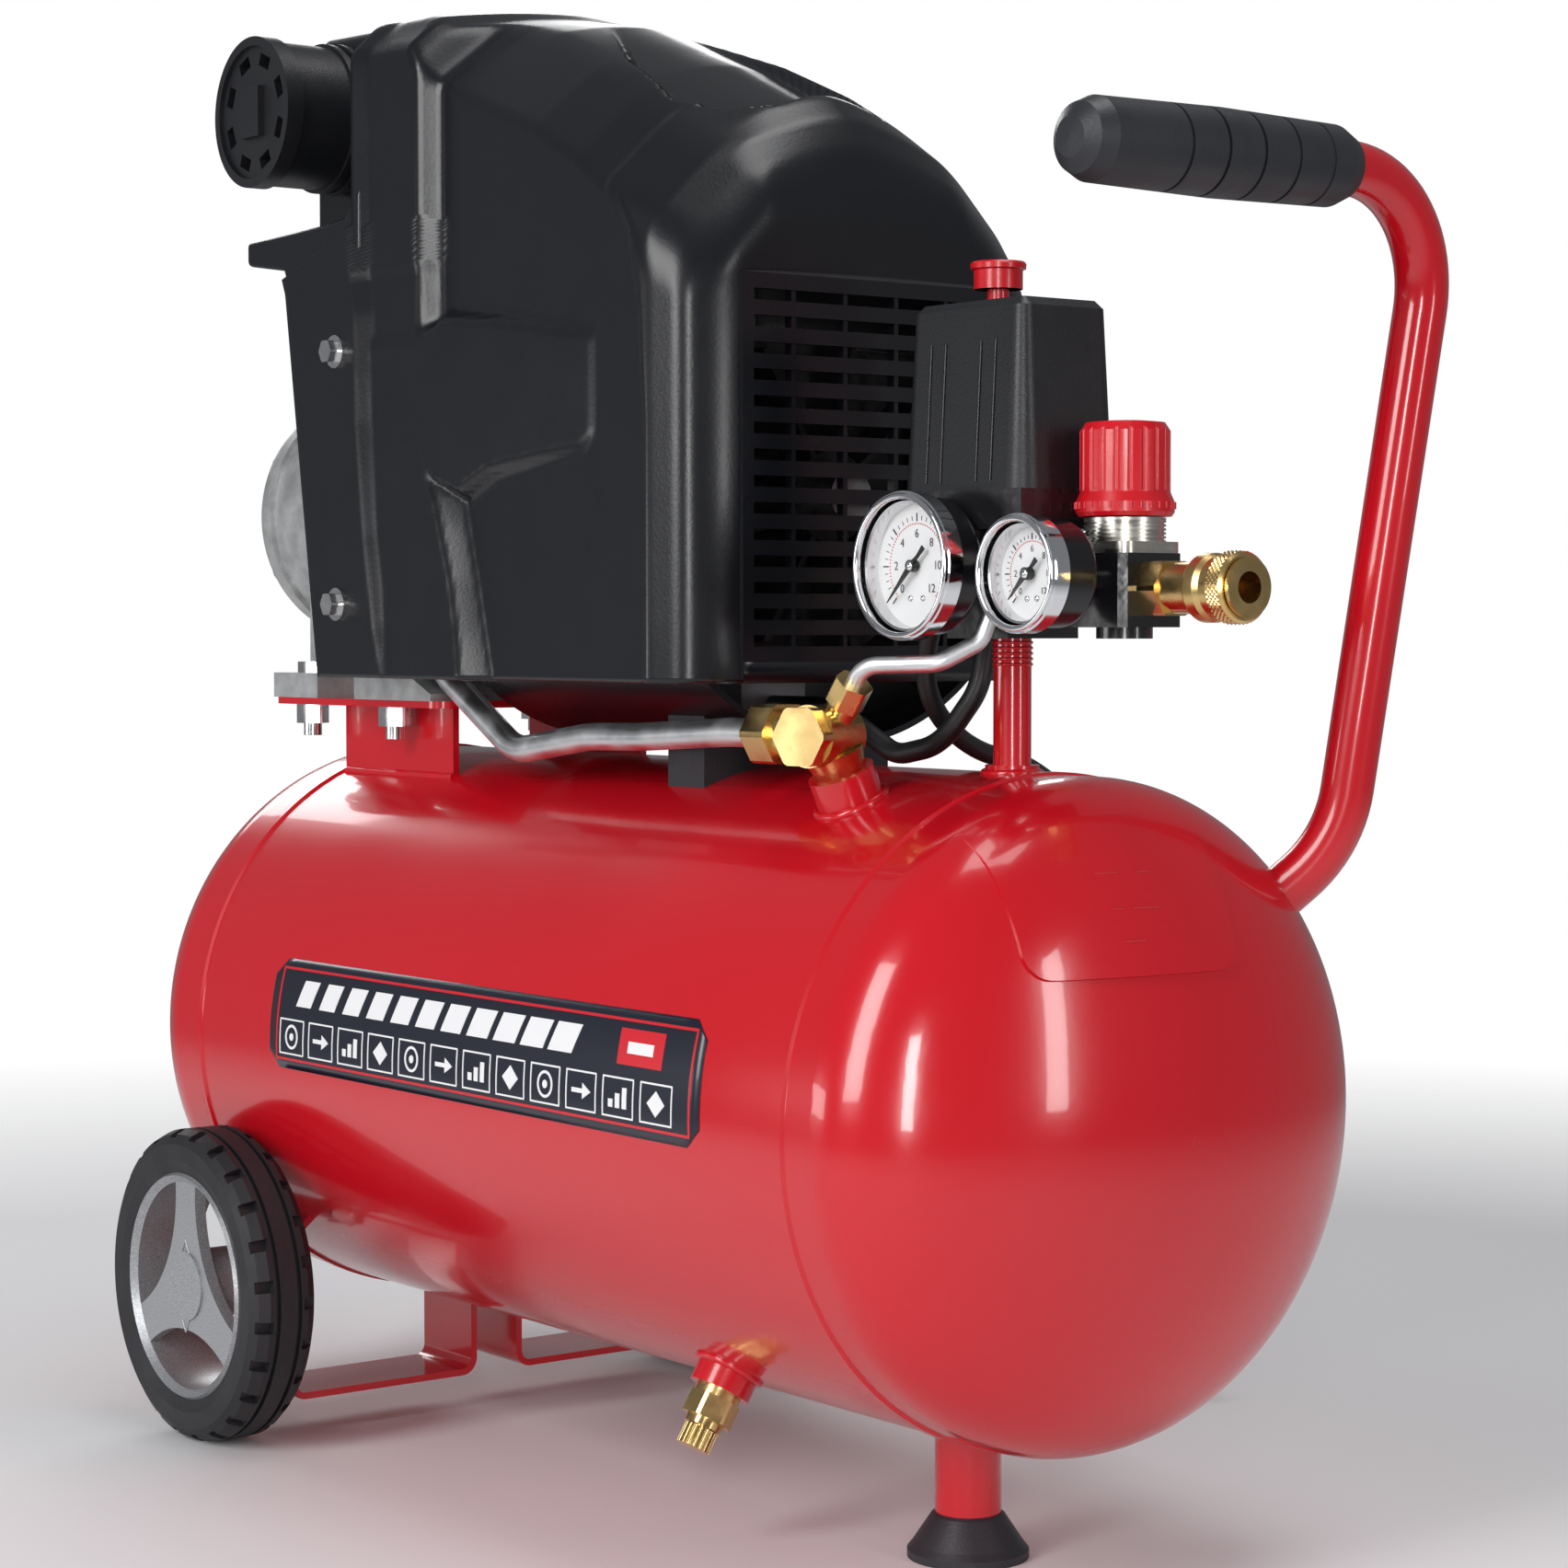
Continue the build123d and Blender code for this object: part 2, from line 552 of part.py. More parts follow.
REG_KNOB_Z = 388.0
with BuildPart() as regulator_knob:
    with BuildSketch(Plane(origin=(REG_X, 0, REG_KNOB_Z), x_dir=(1, 0, 0), z_dir=(0, -1, 0))):
        with BuildLine():
            Polyline(
                (0, 0), (16.5, 0), (17.5, 1.5), (17.5, 5), (16, 8.5), (16, 30), (14, 33), (8, 33.6),
                (0, 33.6), close=True,
            )
        make_face()
    revolve(axis=Axis((REG_X, 0, 0), (0, 0, 1)))
    with BuildSketch(Plane.XY.offset(REG_KNOB_Z + 9)):
        with Locations((REG_X, 0)):
            with PolarLocations(16.6, 20):
                Circle(1.3)
    extrude(amount=26, mode=Mode.SUBTRACT)
    bar(up(REG_X, 0, 378), STEM_R, 12)
write("regulator_knob", regulator_knob)

with BuildPart() as coupler_body:     # quick coupler: hexagon nipple, nose and ball cage
    hexagon(along_x(REG_X + 15, 0, REG_Z), 19, 11, bore=4)
    bar(along_x(REG_X + 26, 0, REG_Z), 9, COUPLER_END - REG_X - 26, bore=4)
    bar(along_x(COUPLER_END - 1.6, 0, REG_Z), 10.3, 1.6, bore=5.5)
    bar(along_x(COUPLER_END - 22, 0, REG_Z), 5.5, 22, mode=Mode.SUBTRACT)
write("coupler_body", coupler_body)

with BuildPart() as coupler_sleeve:
    with BuildSketch(spin_x(REG_Z)):
        with BuildLine():
            x0 = COUPLER_END - 2 - 20
            Polyline(
                (x0, 9 + RUN_GAP), (x0, 11), (x0 + 1.5, 12), (x0 + 6, 12), (x0 + 8, 11), (x0 + 12, 11),
                (x0 + 13, 12.4), (x0 + 19, 12.4), (x0 + 20, 11.4), (x0 + 20, 9 + RUN_GAP), close=True,
            )
        make_face()
    revolve(axis=Axis((0, 0, REG_Z), (1, 0, 0)))
write("coupler_sleeve", coupler_sleeve)

# ---------------------------------------------------------------- safety valve, behind the manifold
SAFETY_Z = 366.0
with BuildPart() as safety_valve_body:
    hexagon(along_y(RISER_X, BLOCK, SAFETY_Z), 17, 9)
    bar(along_y(RISER_X, BLOCK + 9, SAFETY_Z), 7, 18)
    bar(along_y(RISER_X, BLOCK + 9, SAFETY_Z), 1.5 + RUN_GAP, 20, mode=Mode.SUBTRACT)
write("safety_valve_body", safety_valve_body)
with BuildPart() as safety_valve_ring:
    bar(along_y(RISER_X, BLOCK + 14, SAFETY_Z), 1.5, 22)
    bar(along_y(RISER_X, BLOCK + 28, SAFETY_Z), 4, 2)
    with BuildSketch(along_x(RISER_X - 1, BLOCK + 45, SAFETY_Z)):
        Circle(10.5)
        Circle(8.5, mode=Mode.SUBTRACT)
    extrude(amount=2)
write("safety_valve_ring", safety_valve_ring)

# ---------------------------------------------------------------- check valve
valve_up = radial(VALVE_X, TANK_R + 12, VALVE_ANGLE)
valve_mid = radial(VALVE_X, VALVE_R, VALVE_ANGLE)
VALVE_Y = valve_mid.origin.Y
VALVE_Z = valve_mid.origin.Z
TUBE_R = 5.5
RELIEF_R = 3.2
RELIEF_DIR = Vector(0.62, 0, 0.78).normalized()
CAP_DIR = Vector(0.25, -0.97, 0).normalized()

with BuildPart() as check_valve_body:
    bar(valve_up.offset(-8), 6, 8)
    with BuildSketch(valve_up):
        Circle(9)
    with BuildSketch(valve_mid.offset(-6)):
        Circle(12)
    loft()
    bar(along_x(VALVE_X - 24, VALVE_Y, VALVE_Z), 9.5, 24)
    bar(Plane(origin=valve_mid.origin - CAP_DIR * 8, z_dir=CAP_DIR), 11.5, 20)
    bar(Plane(origin=valve_mid.origin, z_dir=RELIEF_DIR), 6, 15)
    bar(along_x(VALVE_X - 25, VALVE_Y, VALVE_Z), TUBE_R, 16, mode=Mode.SUBTRACT)
    bar(Plane(origin=valve_mid.origin + RELIEF_DIR * 12.5, z_dir=RELIEF_DIR), RELIEF_R, 6, mode=Mode.SUBTRACT)
write("check_valve_body", check_valve_body)

with BuildPart() as check_valve_nuts:
    hexagon(along_x(VALVE_X - 38, VALVE_Y, VALVE_Z), 22, 14, bore=TUBE_R)
    hexagon(Plane(origin=valve_mid.origin + RELIEF_DIR * 15, z_dir=RELIEF_DIR), 13, 10, bore=RELIEF_R)
    hexagon(Plane(origin=valve_mid.origin + CAP_DIR * 12, z_dir=CAP_DIR), 21, 6)
write("check_valve_nuts", check_valve_nuts)

# ---------------------------------------------------------------- pump: crankcase, cylinder, head
CASE_R = 54.0
CASE_X = (-262.0, -165.0)
FOOT_T = 11.0
STAY_X = (-148.0, -130.0)
CYL_Z = (456.0, 530.0)
HEAD_Z = (530.0, 590.0)

with BuildPart() as crankcase:
    bar(along_x(CASE_X[0], 0, MOTOR_Z), CASE_R, CASE_X[1] - CASE_X[0])
    bar(along_x(CASE_X[1], 0, MOTOR_Z), 30, 62)
    box((PUMP_X - 34, PUMP_X + 34), (-36, 36), (MOTOR_Z + 30, CYL_Z[0]))
    box((CASE_X[0] + 8, CASE_X[1]), (-40, 40), (PLATE_Z + PLATE_T, 360))
    foot_z = PLATE_Z + PLATE_T
    box((-238, -199), (-PLATE_Y, PLATE_Y), (foot_z, foot_z + FOOT_T))
    with BuildSketch(Plane.XZ):
        with BuildLine():
            Polyline(
                (-167, foot_z), (-104, foot_z), (-104, foot_z + 3), (-122, foot_z + FOOT_T),
                (-167, foot_z + FOOT_T), close=True,
            )
        make_face()
    extrude(amount=PLATE_Y, both=True)
    for side in (-1, 1):              # arms of the bearing housing that hold the shroud's sides
        box(STAY_X, sorted((side * (SHROUD_Y - 3), side * (SHROUD_Y - 7))), (348, 478))
        box(STAY_X, sorted((side * (SHROUD_Y - 7), side * 28)), (MOTOR_Z - 3, MOTOR_Z + 3))
    bar(along_x(CASE_X[0] - 1, 0, MOTOR_Z), CASE_R - 7, CASE_X[1] - CASE_X[0] - 7, mode=Mode.SUBTRACT)
    bar(up(PUMP_X, 0, MOTOR_Z), BORE_R + 1, 60, mode=Mode.SUBTRACT)
    bar(along_x(CASE_X[1] - 10, 0, MOTOR_Z), 21, 80, mode=Mode.SUBTRACT)
    for x in BOLT_X:
        for y in (-BOLT_Y, BOLT_Y):
            bar(up(x, y, PLATE_Z), 4, 20, mode=Mode.SUBTRACT)
write("crankcase", crankcase)

with BuildPart() as crankcase_cover:
    bar(along_x(CASE_X[0], 0, MOTOR_Z), CASE_R + 2, -12)
    fillet(faces().sort_by(Axis.X)[0].edges(), 5)
    for k in range(6):
        a = math.radians(60 * k + 30)
        bar(along_x(CASE_X[0] - 12, 48 * math.cos(a), MOTOR_Z + 48 * math.sin(a)), 5, -3)
write("crankcase_cover", crankcase_cover)

with BuildPart() as cylinder:
    bar(up(PUMP_X, 0, CYL_Z[0]), BORE_R + 6, CYL_Z[1] - CYL_Z[0])
    for i in range(7):
        bar(up(PUMP_X, 0, CYL_Z[0] + 8 + 9.5 * i), 34, 3)
    bar(up(PUMP_X, 0, CYL_Z[0]), BORE_R, CYL_Z[1] - CYL_Z[0], mode=Mode.SUBTRACT)
write("cylinder", cylinder)

INTAKE_X = -216.0
INTAKE_Z = 576.0
INTAKE_R = 33.0
PORT_X = -158.0
PORT_Y = -22.0
PORT_Z = 541.0
with BuildPart() as cylinder_head:
    box((PUMP_X - 34, PUMP_X + 34), (-37, 37), (HEAD_Z[0], HEAD_Z[0] + 18))
    for i in range(7):
        x = PUMP_X - 34 + i * 10.6
        box((x, x + 4), (-37, 37), (HEAD_Z[0] + 18, HEAD_Z[1]))
    box((PUMP_X + 30, PORT_X + 11), (PORT_Y - 11, PORT_Y + 11), (PORT_Z, PORT_Z + 18))
    bar(up(PORT_X, PORT_Y, PORT_Z - 2), TUBE_R - 2, 12, mode=Mode.SUBTRACT)
    bar(along_y(INTAKE_X, NOTCH_Y, INTAKE_Z - 8), 10, 50)
write("cylinder_head", cylinder_head)

# ---------------------------------------------------------------- moving parts of the pump and motor
PISTON_TOP = CYL_Z[1] - 1.0
WRIST_Z = PISTON_TOP - 20
WEB_X = PUMP_X + 12

with BuildPart() as piston:           # shown at the top of its stroke
    bar(up(PUMP_X, 0, PISTON_TOP - 34), BORE_R - RUN_GAP, 34)
    bar(up(PUMP_X, 0, PISTON_TOP - 35), BORE_R - 4, 27, mode=Mode.SUBTRACT)
    bar(along_x(PUMP_X - 20, 0, WRIST_Z), 5, 40)
write("piston", piston)

with BuildPart() as connecting_rod:
    rod_x = PUMP_X - 7
    bar(along_x(rod_x, 0, WRIST_Z), 9, 14, bore=5)
    bar(along_x(rod_x, 0, MOTOR_Z + CRANK), 14, 10.5, bore=8)
    box((rod_x + 2, rod_x + 9), (-5, 5), (MOTOR_Z + CRANK + 13, WRIST_Z - 8))
write("connecting_rod", connecting_rod)

with BuildPart() as crankshaft:
    bar(along_x(WEB_X, 0, MOTOR_Z), 30, 12)
    box((WEB_X, WEB_X + 12), (-12, 12), (MOTOR_Z, MOTOR_Z + CRANK + 10))
    bar(along_x(WEB_X, 0, MOTOR_Z + CRANK), 7.5, -1.5)
    bar(along_x(WEB_X + 12, 0, MOTOR_Z), 10, FAN_X + 34 - WEB_X - 12)
write("crankshaft", crankshaft)

with BuildPart() as bearings:
    bar(along_x(CASE_X[1] - 8, 0, MOTOR_Z), 21, 14, bore=10 + RUN_GAP)
    bar(along_x(CASE_X[1] + 44, 0, MOTOR_Z), 21, 14, bore=10 + RUN_GAP)
write("bearings", bearings)

STATOR_X = (-88.0, 12.0)
with BuildPart() as motor_stator:     # laminated stator with its end bell and terminal box
    bar(along_x(STATOR_X[0], 0, MOTOR_Z), 64, STATOR_X[1] - STATOR_X[0], bore=36)
    bar(along_x(CASE_X[1] + 62, 0, MOTOR_Z), 64, STATOR_X[0] - CASE_X[1] - 62, bore=22)
    box((STATOR_X[1], 46), (-16, 16), (312, 334))
    box((STATOR_X[1] - 20, STATOR_X[1]), (-16, 16), (312, 345))
write("motor_stator", motor_stator)

with BuildPart() as motor_rotor:
    bar(along_x(STATOR_X[0] + 8, 0, MOTOR_Z), 35, STATOR_X[1] - STATOR_X[0] - 16, bore=10)
write("motor_rotor", motor_rotor)

with BuildPart() as cooling_fan:
    bar(along_x(FAN_X, 0, MOTOR_Z), 18, 22, bore=10)
    bar(along_x(FAN_X, 0, MOTOR_Z), 66, 2, bore=16)
    with BuildSketch(along_x(FAN_X, 0, MOTOR_Z)):
        with PolarLocations(41, 9):
            Rectangle(48, 2.5)
    extrude(amount=22)
write("cooling_fan", cooling_fan)

with BuildPart() as pump_fasteners:   # bolts through the feet, nuts under the plate
    for x in BOLT_X:
        for y in (-BOLT_Y, BOLT_Y):
            bar(up(x, y, PLATE_Z - 14), 4, 14 + PLATE_T + FOOT_T)
            hexagon(up(x, y, PLATE_Z + PLATE_T + FOOT_T), 12, 5)
            hexagon(up(x, y, PLATE_Z - 8.5), 13, 8.5, bore=4)
write("pump_fasteners", pump_fasteners)

# ---------------------------------------------------------------- air tubes
discharge_route = [
    (VALVE_X - 25, VALVE_Y, VALVE_Z), (VALVE_X - 60, VALVE_Y, VALVE_Z), (44, -60.5, 306.5), (4, -60.5, 305.5),
    (-50, -60, 298.5),
    (-102, -60, 328), (-130, -55, 346), (PORT_X, -46, 378), (PORT_X, -43, 450), (PORT_X, PORT_Y, 500),
    (PORT_X, PORT_Y, PORT_Z),
]
with BuildPart() as discharge_tube:
    swept(discharge_route, [90, 120, 100, 28, 30, 24, 28, 40, 28], TUBE_R, bore=TUBE_R - 1.2)
write("discharge_tube", discharge_tube)

relief_from = valve_mid.origin + RELIEF_DIR * 14
relief_bend = valve_mid.origin + RELIEF_DIR * 33
relief_route = [
    tuple(relief_from), tuple(relief_bend), (201, -44, 336), (208, -30, 344), (212, -25, 362),
    (212, -25, BASE_Z[0]),
]
with BuildPart() as relief_tube:
    swept(relief_route, [10, 10, 8, 15], RELIEF_R, bore=RELIEF_R - 0.8)
write("relief_tube", relief_tube)

# ---------------------------------------------------------------- drain valve
drain_from = TANK_R + 9
drain_plane = radial(DRAIN_X, drain_from, DRAIN_ANGLE, down=True)
with BuildPart() as drain_valve_body:
    bar(drain_plane.offset(-8), 4, 8)
    bar(drain_plane, 9, 3)
    hexagon(drain_plane.offset(3), 18, 9)
    bar(drain_plane.offset(12), 7.5, 3)
    bar(drain_plane.offset(5), 4 + RUN_GAP, 12, mode=Mode.SUBTRACT)
write("drain_valve_body", drain_valve_body)
with BuildPart() as drain_knob:
    bar(drain_plane.offset(6), 4, 9.5)
    with BuildSketch(drain_plane.offset(15.4)):
        Circle(6.5)
        with PolarLocations(6.8, 18):
            Circle(0.7, mode=Mode.SUBTRACT)
    extrude(amount=8)
write("drain_knob", drain_knob)

# ---------------------------------------------------------------- plastic shroud round the motor
LEDGE_Z = 512.0
roof = [
    (SHROUD_FACE_X, 505), (104, 528), (81, 557), (21, 580), (-43, 598),
    (-84, 606), (-104, 611), (SHROUD_END_X + 6, SHROUD_TOP), (SHROUD_END_X, 610),
]
outline = [
    (-157, SHROUD_Z - 5), (SHROUD_FACE_X, SHROUD_Z - 5), *roof,
    (SHROUD_END_X, LEDGE_Z), (-186, LEDGE_Z), (-180, 500),
]


# of each sloping shoulder: height at the side wall above x = -54, fall per unit of +X, rise per unit inwards
SHOULDERS = ((565, 0.42, 0.9), (596, 0.33, 0.35), (578, 0.0, 1.0))


def shroud_volume(inset):
    """Add the solid inside of the shroud's surface, moved inwards by a wall thickness."""
    with BuildSketch(Plane.XZ) as side:
        with BuildLine():
            Polyline(*outline, close=True)
        make_face()
        if inset:
            offset(amount=-inset, kind=Kind.INTERSECTION, mode=Mode.REPLACE)
    half = SHROUD_Y - inset
    extrude(side.sketch, amount=half, both=True)
    with BuildSketch(Plane.XY.offset(250)) as plan:
        with Locations(((SHROUD_FACE_X + SHROUD_END_X) / 2, 0)):
            RectangleRounded(SHROUD_FACE_X - SHROUD_END_X - 2 * inset, 2 * half, 25 - inset)
    extrude(plan.sketch, amount=500, mode=Mode.INTERSECT)
    for y in (-SHROUD_Y, SHROUD_Y):
        for z, drop, rise in SHOULDERS:
            outwards = (drop, math.copysign(rise, y), 1)
            with BuildSketch(Plane(origin=(-54, y, z), z_dir=outwards).offset(-inset)) as shoulder:
                Rectangle(900, 900)
            extrude(shoulder.sketch, amount=150, mode=Mode.SUBTRACT)
    box((-300, NOTCH_X + inset), (-200, NOTCH_Y + inset), (NOTCH_Z - inset, 700), mode=Mode.SUBTRACT)


with BuildPart() as shroud_inside:
    shroud_volume(SHROUD_WALL)

with BuildPart() as shroud:
    shroud_volume(0)
    box((-400, 400), (-200, 200), (300, SHROUD_Z), mode=Mode.SUBTRACT)
    add(shroud_inside.part, mode=Mode.SUBTRACT)
    box((-300, -165), (-86, 86), (300, LEDGE_Z + 4), mode=Mode.SUBTRACT)
    inner_y = SHROUD_Y - SHROUD_WALL
    box((-186, -150), (-inner_y, inner_y), (300, LEDGE_Z), mode=Mode.SUBTRACT)
    box((SHROUD_FACE_X - 8, SHROUD_FACE_X + 2), (-GRILLE_Y, GRILLE_Y), GRILLE_Z, mode=Mode.SUBTRACT)
    bar(along_y(INTAKE_X, NOTCH_Y - 8, INTAKE_Z - 8), 13, 16, mode=Mode.SUBTRACT)
    for z in (359, 466):
        for side in (-1, 1):
            bar(along_y(-139, side * (SHROUD_Y - 6), z, side), 3, 10, mode=Mode.SUBTRACT)
write("shroud", shroud)

with BuildPart() as shroud_grille:    # slotted air inlet, set into the shroud's end
    box((SHROUD_FACE_X - 3, SHROUD_FACE_X), (-GRILLE_Y, GRILLE_Y), GRILLE_Z)
    for i in range(SLOTS):
        z = 344 + SLOT_PITCH * i
        through = (SHROUD_FACE_X - 5, SHROUD_FACE_X + 2)
        box(through, (-57, 57), (z - SLOT_H / 2, z + SLOT_H / 2), mode=Mode.SUBTRACT)
    for y in (-37.5, -12.5, 12.5, 37.5):
        box((SHROUD_FACE_X - 5, SHROUD_FACE_X - 1), (y - 1, y + 1), (GRILLE_Z[0] + 1, GRILLE_Z[1] - 1))
write("shroud_grille", shroud_grille)

with BuildPart() as shroud_screws:
    for z in (359, 466):
        for side in (-1, 1):
            bar(along_y(-139, side * (SHROUD_Y - 3), z, side), 3, 3)
            bar(along_y(-139, side * SHROUD_Y, z, side), 7, 1.5)
            hexagon(along_y(-139, side * (SHROUD_Y + 1.5), z, side), 9, 4.5)
write("shroud_screws", shroud_screws)

COWL_R = 97.0
COWL_X = (-70.0, 90.0)
COWL_TOP = 333.0
with BuildPart() as motor_cowl:       # trough under the motor, inside the shroud's side walls
    bar(along_x(COWL_X[0], 0, MOTOR_Z), COWL_R, COWL_X[1] - COWL_X[0], bore=COWL_R - 2.5)
    box((-200, 200), (-200, 200), (COWL_TOP, 600), mode=Mode.SUBTRACT)
write("motor_cowl", motor_cowl)

with BuildPart() as cowl_damper:      # rubber strip between the cowl and the tank
    box((38, 62), (-46, 46), (270, 330))
    add(tank_volume.part, mode=Mode.SUBTRACT)
    bar(along_x(0, 0, MOTOR_Z), COWL_R, 100, mode=Mode.SUBTRACT)
write("cowl_damper", cowl_damper)

# ---------------------------------------------------------------- intake filter
INTAKE_FACE = -90.0
with BuildPart() as intake_housing:
    bar(along_y(INTAKE_X, INTAKE_FACE + 8, INTAKE_Z), INTAKE_R - 1.5, 40)
    bar(along_y(INTAKE_X, INTAKE_FACE + 34, INTAKE_Z), INTAKE_R, 3)
    bar(along_y(INTAKE_X, INTAKE_FACE + 40, INTAKE_Z), INTAKE_R + 0.5, 3)
    bar(along_y(INTAKE_X, INTAKE_FACE + 8, INTAKE_Z), INTAKE_R - 4, 37, mode=Mode.SUBTRACT)
    bar(along_y(INTAKE_X, INTAKE_FACE + 44, INTAKE_Z - 8), 5, 12, mode=Mode.SUBTRACT)
write("intake_housing", intake_housing)

with BuildPart() as intake_cap:       # vented cap with a raised rim and a square boss
    bar(along_y(INTAKE_X, INTAKE_FACE + 2, INTAKE_Z), INTAKE_R, 6)
    bar(along_y(INTAKE_X, INTAKE_FACE, INTAKE_Z), INTAKE_R, 2, bore=INTAKE_R - 4)
    with BuildSketch(along_y(INTAKE_X, INTAKE_FACE + 9, INTAKE_Z, -1)):
        with PolarLocations(23, 8, start_angle=22.5):
            Rectangle(5.5, 9)
    extrude(amount=10, mode=Mode.SUBTRACT)
    box((INTAKE_X - 8, INTAKE_X + 8), (INTAKE_FACE - 1, INTAKE_FACE + 3), (INTAKE_Z - 11, INTAKE_Z + 11))
write("intake_cap", intake_cap)

# ---------------------------------------------------------------- mains cord
COIL_X, COIL_Y = COIL_AT
turn_r = COIL_R[1] - CORD_R
cord_route = [
    tuple(CORD_EXIT),
    (150.5, -9, 340.5), (147.5, -3, 318), (146.5, 20, 301.5), (142, 50, 297), (134, 82, 280), (125, 111, 247),
    (113, 130, 205), (99, 138, 160), (84, 140, 116), (66, 144, 75), (46, 150, 41), (22, 157, 16),
    (-6, 165, CORD_R + 0.6), (-30, COIL_Y - turn_r - 1, CORD_R), (-53, COIL_Y - turn_r, CORD_R),
]


def bend_radii(route):
    """Largest tangent arcs that the runs of a route leave room for."""
    points = [Vector(*p) for p in route]
    radii = []
    for a, b, c in zip(points, points[1:], points[2:]):
        turn = math.radians((b - a).get_angle(c - b))
        radii.append(0.45 * min((b - a).length, (c - b).length) / math.tan(turn / 2))
    return radii


with BuildPart() as mains_cord_coil:
    bar(up(COIL_X, COIL_Y, 0), COIL_R[1], COIL_H, bore=COIL_R[0])
write("mains_cord_coil", mains_cord_coil)

with BuildPart() as mains_cord:
    cord_path = swept(cord_route, bend_radii(cord_route), CORD_R)
    add(mains_cord_coil.part, mode=Mode.SUBTRACT)
write("mains_cord", mains_cord)
print("cord bend radii", [round(r) for r in bend_radii(cord_route)])
cord_length = sum(edge.length for edge in cord_path.edges())
print("cord tube length", round(cord_length, 1), "volume", round(mains_cord.part.volume))
print("section times length", round(cord_length * math.pi * CORD_R**2))

PLUG_X = COIL_X + 27.0
PLUG_Y = COIL_Y + turn_r
with BuildPart() as mains_plug:       # moulded two-pin plug lying beside the coil
    with BuildSketch(along_x(PLUG_X, PLUG_Y, 9)):
        Circle(5)
    with BuildSketch(along_x(PLUG_X + 22, PLUG_Y, 9)):
        RectangleRounded(20, 17, 5)
    loft()
    with BuildSketch(along_x(PLUG_X + 22, PLUG_Y, 9)):
        RectangleRounded(20, 17, 5)
    extrude(amount=20)
    with BuildSketch(along_x(PLUG_X + 42, PLUG_Y, 9)):
        RectangleRounded(34, 17.5, 8)
    extrude(amount=7)
    for y in (-9.5, 9.5):
        bar(along_x(PLUG_X + 49, PLUG_Y + y, 9), 2.4, 19)
    add(mains_cord_coil.part, mode=Mode.SUBTRACT)
write("mains_plug", mains_plug)
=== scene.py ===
import json
import math

import bmesh
import bpy
import numpy as np
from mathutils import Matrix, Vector


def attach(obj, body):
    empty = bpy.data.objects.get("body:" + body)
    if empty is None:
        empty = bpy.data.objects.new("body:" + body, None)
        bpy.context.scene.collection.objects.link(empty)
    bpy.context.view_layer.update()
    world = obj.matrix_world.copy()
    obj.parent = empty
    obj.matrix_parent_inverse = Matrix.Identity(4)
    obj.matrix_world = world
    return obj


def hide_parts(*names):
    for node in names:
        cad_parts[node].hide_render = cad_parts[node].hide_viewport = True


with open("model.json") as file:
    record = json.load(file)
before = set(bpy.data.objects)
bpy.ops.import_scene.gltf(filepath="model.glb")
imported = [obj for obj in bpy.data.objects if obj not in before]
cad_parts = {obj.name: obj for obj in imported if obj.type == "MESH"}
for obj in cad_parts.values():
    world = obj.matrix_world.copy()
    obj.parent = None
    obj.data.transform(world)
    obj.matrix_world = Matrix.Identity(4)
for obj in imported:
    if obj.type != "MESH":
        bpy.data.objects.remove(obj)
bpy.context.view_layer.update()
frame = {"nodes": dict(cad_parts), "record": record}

nodes = frame["nodes"]
MM = 0.001
SHIFT_X = -12.25           # the model's origin is this far along X from the middle of the tank, in mm


def at(x, y, z):
    """A point given in mm from the middle of the tank, in the row frame, in metres."""
    return Vector(((x + SHIFT_X) * MM, y * MM, z * MM))


# ------------------------------------------------------------------ camera, light and floor
scene = bpy.context.scene
CAMERA_AZIMUTH = math.radians(52.6)
CAMERA_DOWN = math.radians(2.5)
CAMERA_PLACE = (1164.3, -849.7, 347.8)
CAMERA_LENS, SENSOR_WIDTH = 80.6, 36

camera_data = bpy.data.cameras.new("camera")
camera_data.sensor_width = SENSOR_WIDTH
camera_data.lens = CAMERA_LENS
camera = bpy.data.objects.new("camera", camera_data)
scene.collection.objects.link(camera)
camera.location = at(*CAMERA_PLACE)
looking = Vector((
    -math.sin(CAMERA_AZIMUTH) * math.cos(CAMERA_DOWN),
    math.cos(CAMERA_AZIMUTH) * math.cos(CAMERA_DOWN),
    -math.sin(CAMERA_DOWN),
))
camera.rotation_euler = looking.to_track_quat("-Z", "Y").to_euler()
scene.camera = camera


def area_light(name, place, target, size, watts):
    """A soft rectangular studio light that faces a target."""
    data = bpy.data.lights.new(name, "AREA")
    data.shape = "RECTANGLE"
    data.size, data.size_y = size
    data.energy = watts
    light = bpy.data.objects.new(name, data)
    scene.collection.objects.link(light)
    light.location = place
    light.rotation_euler = (Vector(target) - Vector(place)).to_track_quat("-Z", "Y").to_euler()


area_light("key", (0.45, -2.3, 1.3), (0.0, 0.0, 0.35), (0.8, 1.9), 40)
area_light("horizon", (-2.4, 1.0, 1.5), (0.0, 0.0, 0.35), (2.2, 0.6), 20)
area_light("top", (0.3, 0.3, 2.4), (0.0, 0.0, 0.3), (1.4, 0.8), 14)
area_light("camera_side", (1.9, -1.5, 0.55), (0.1, 0.0, 0.2), (0.25, 1.0), 14)
area_light("right_strip", (2.2, 0.35, 0.7), (0.1, 0.0, 0.3), (0.2, 1.2), 8)
area_light("low_left", (-1.2, -2.0, 0.3), (0.0, 0.0, 0.1), (0.9, 0.3), 5)

scene.view_settings.view_transform = "Standard"

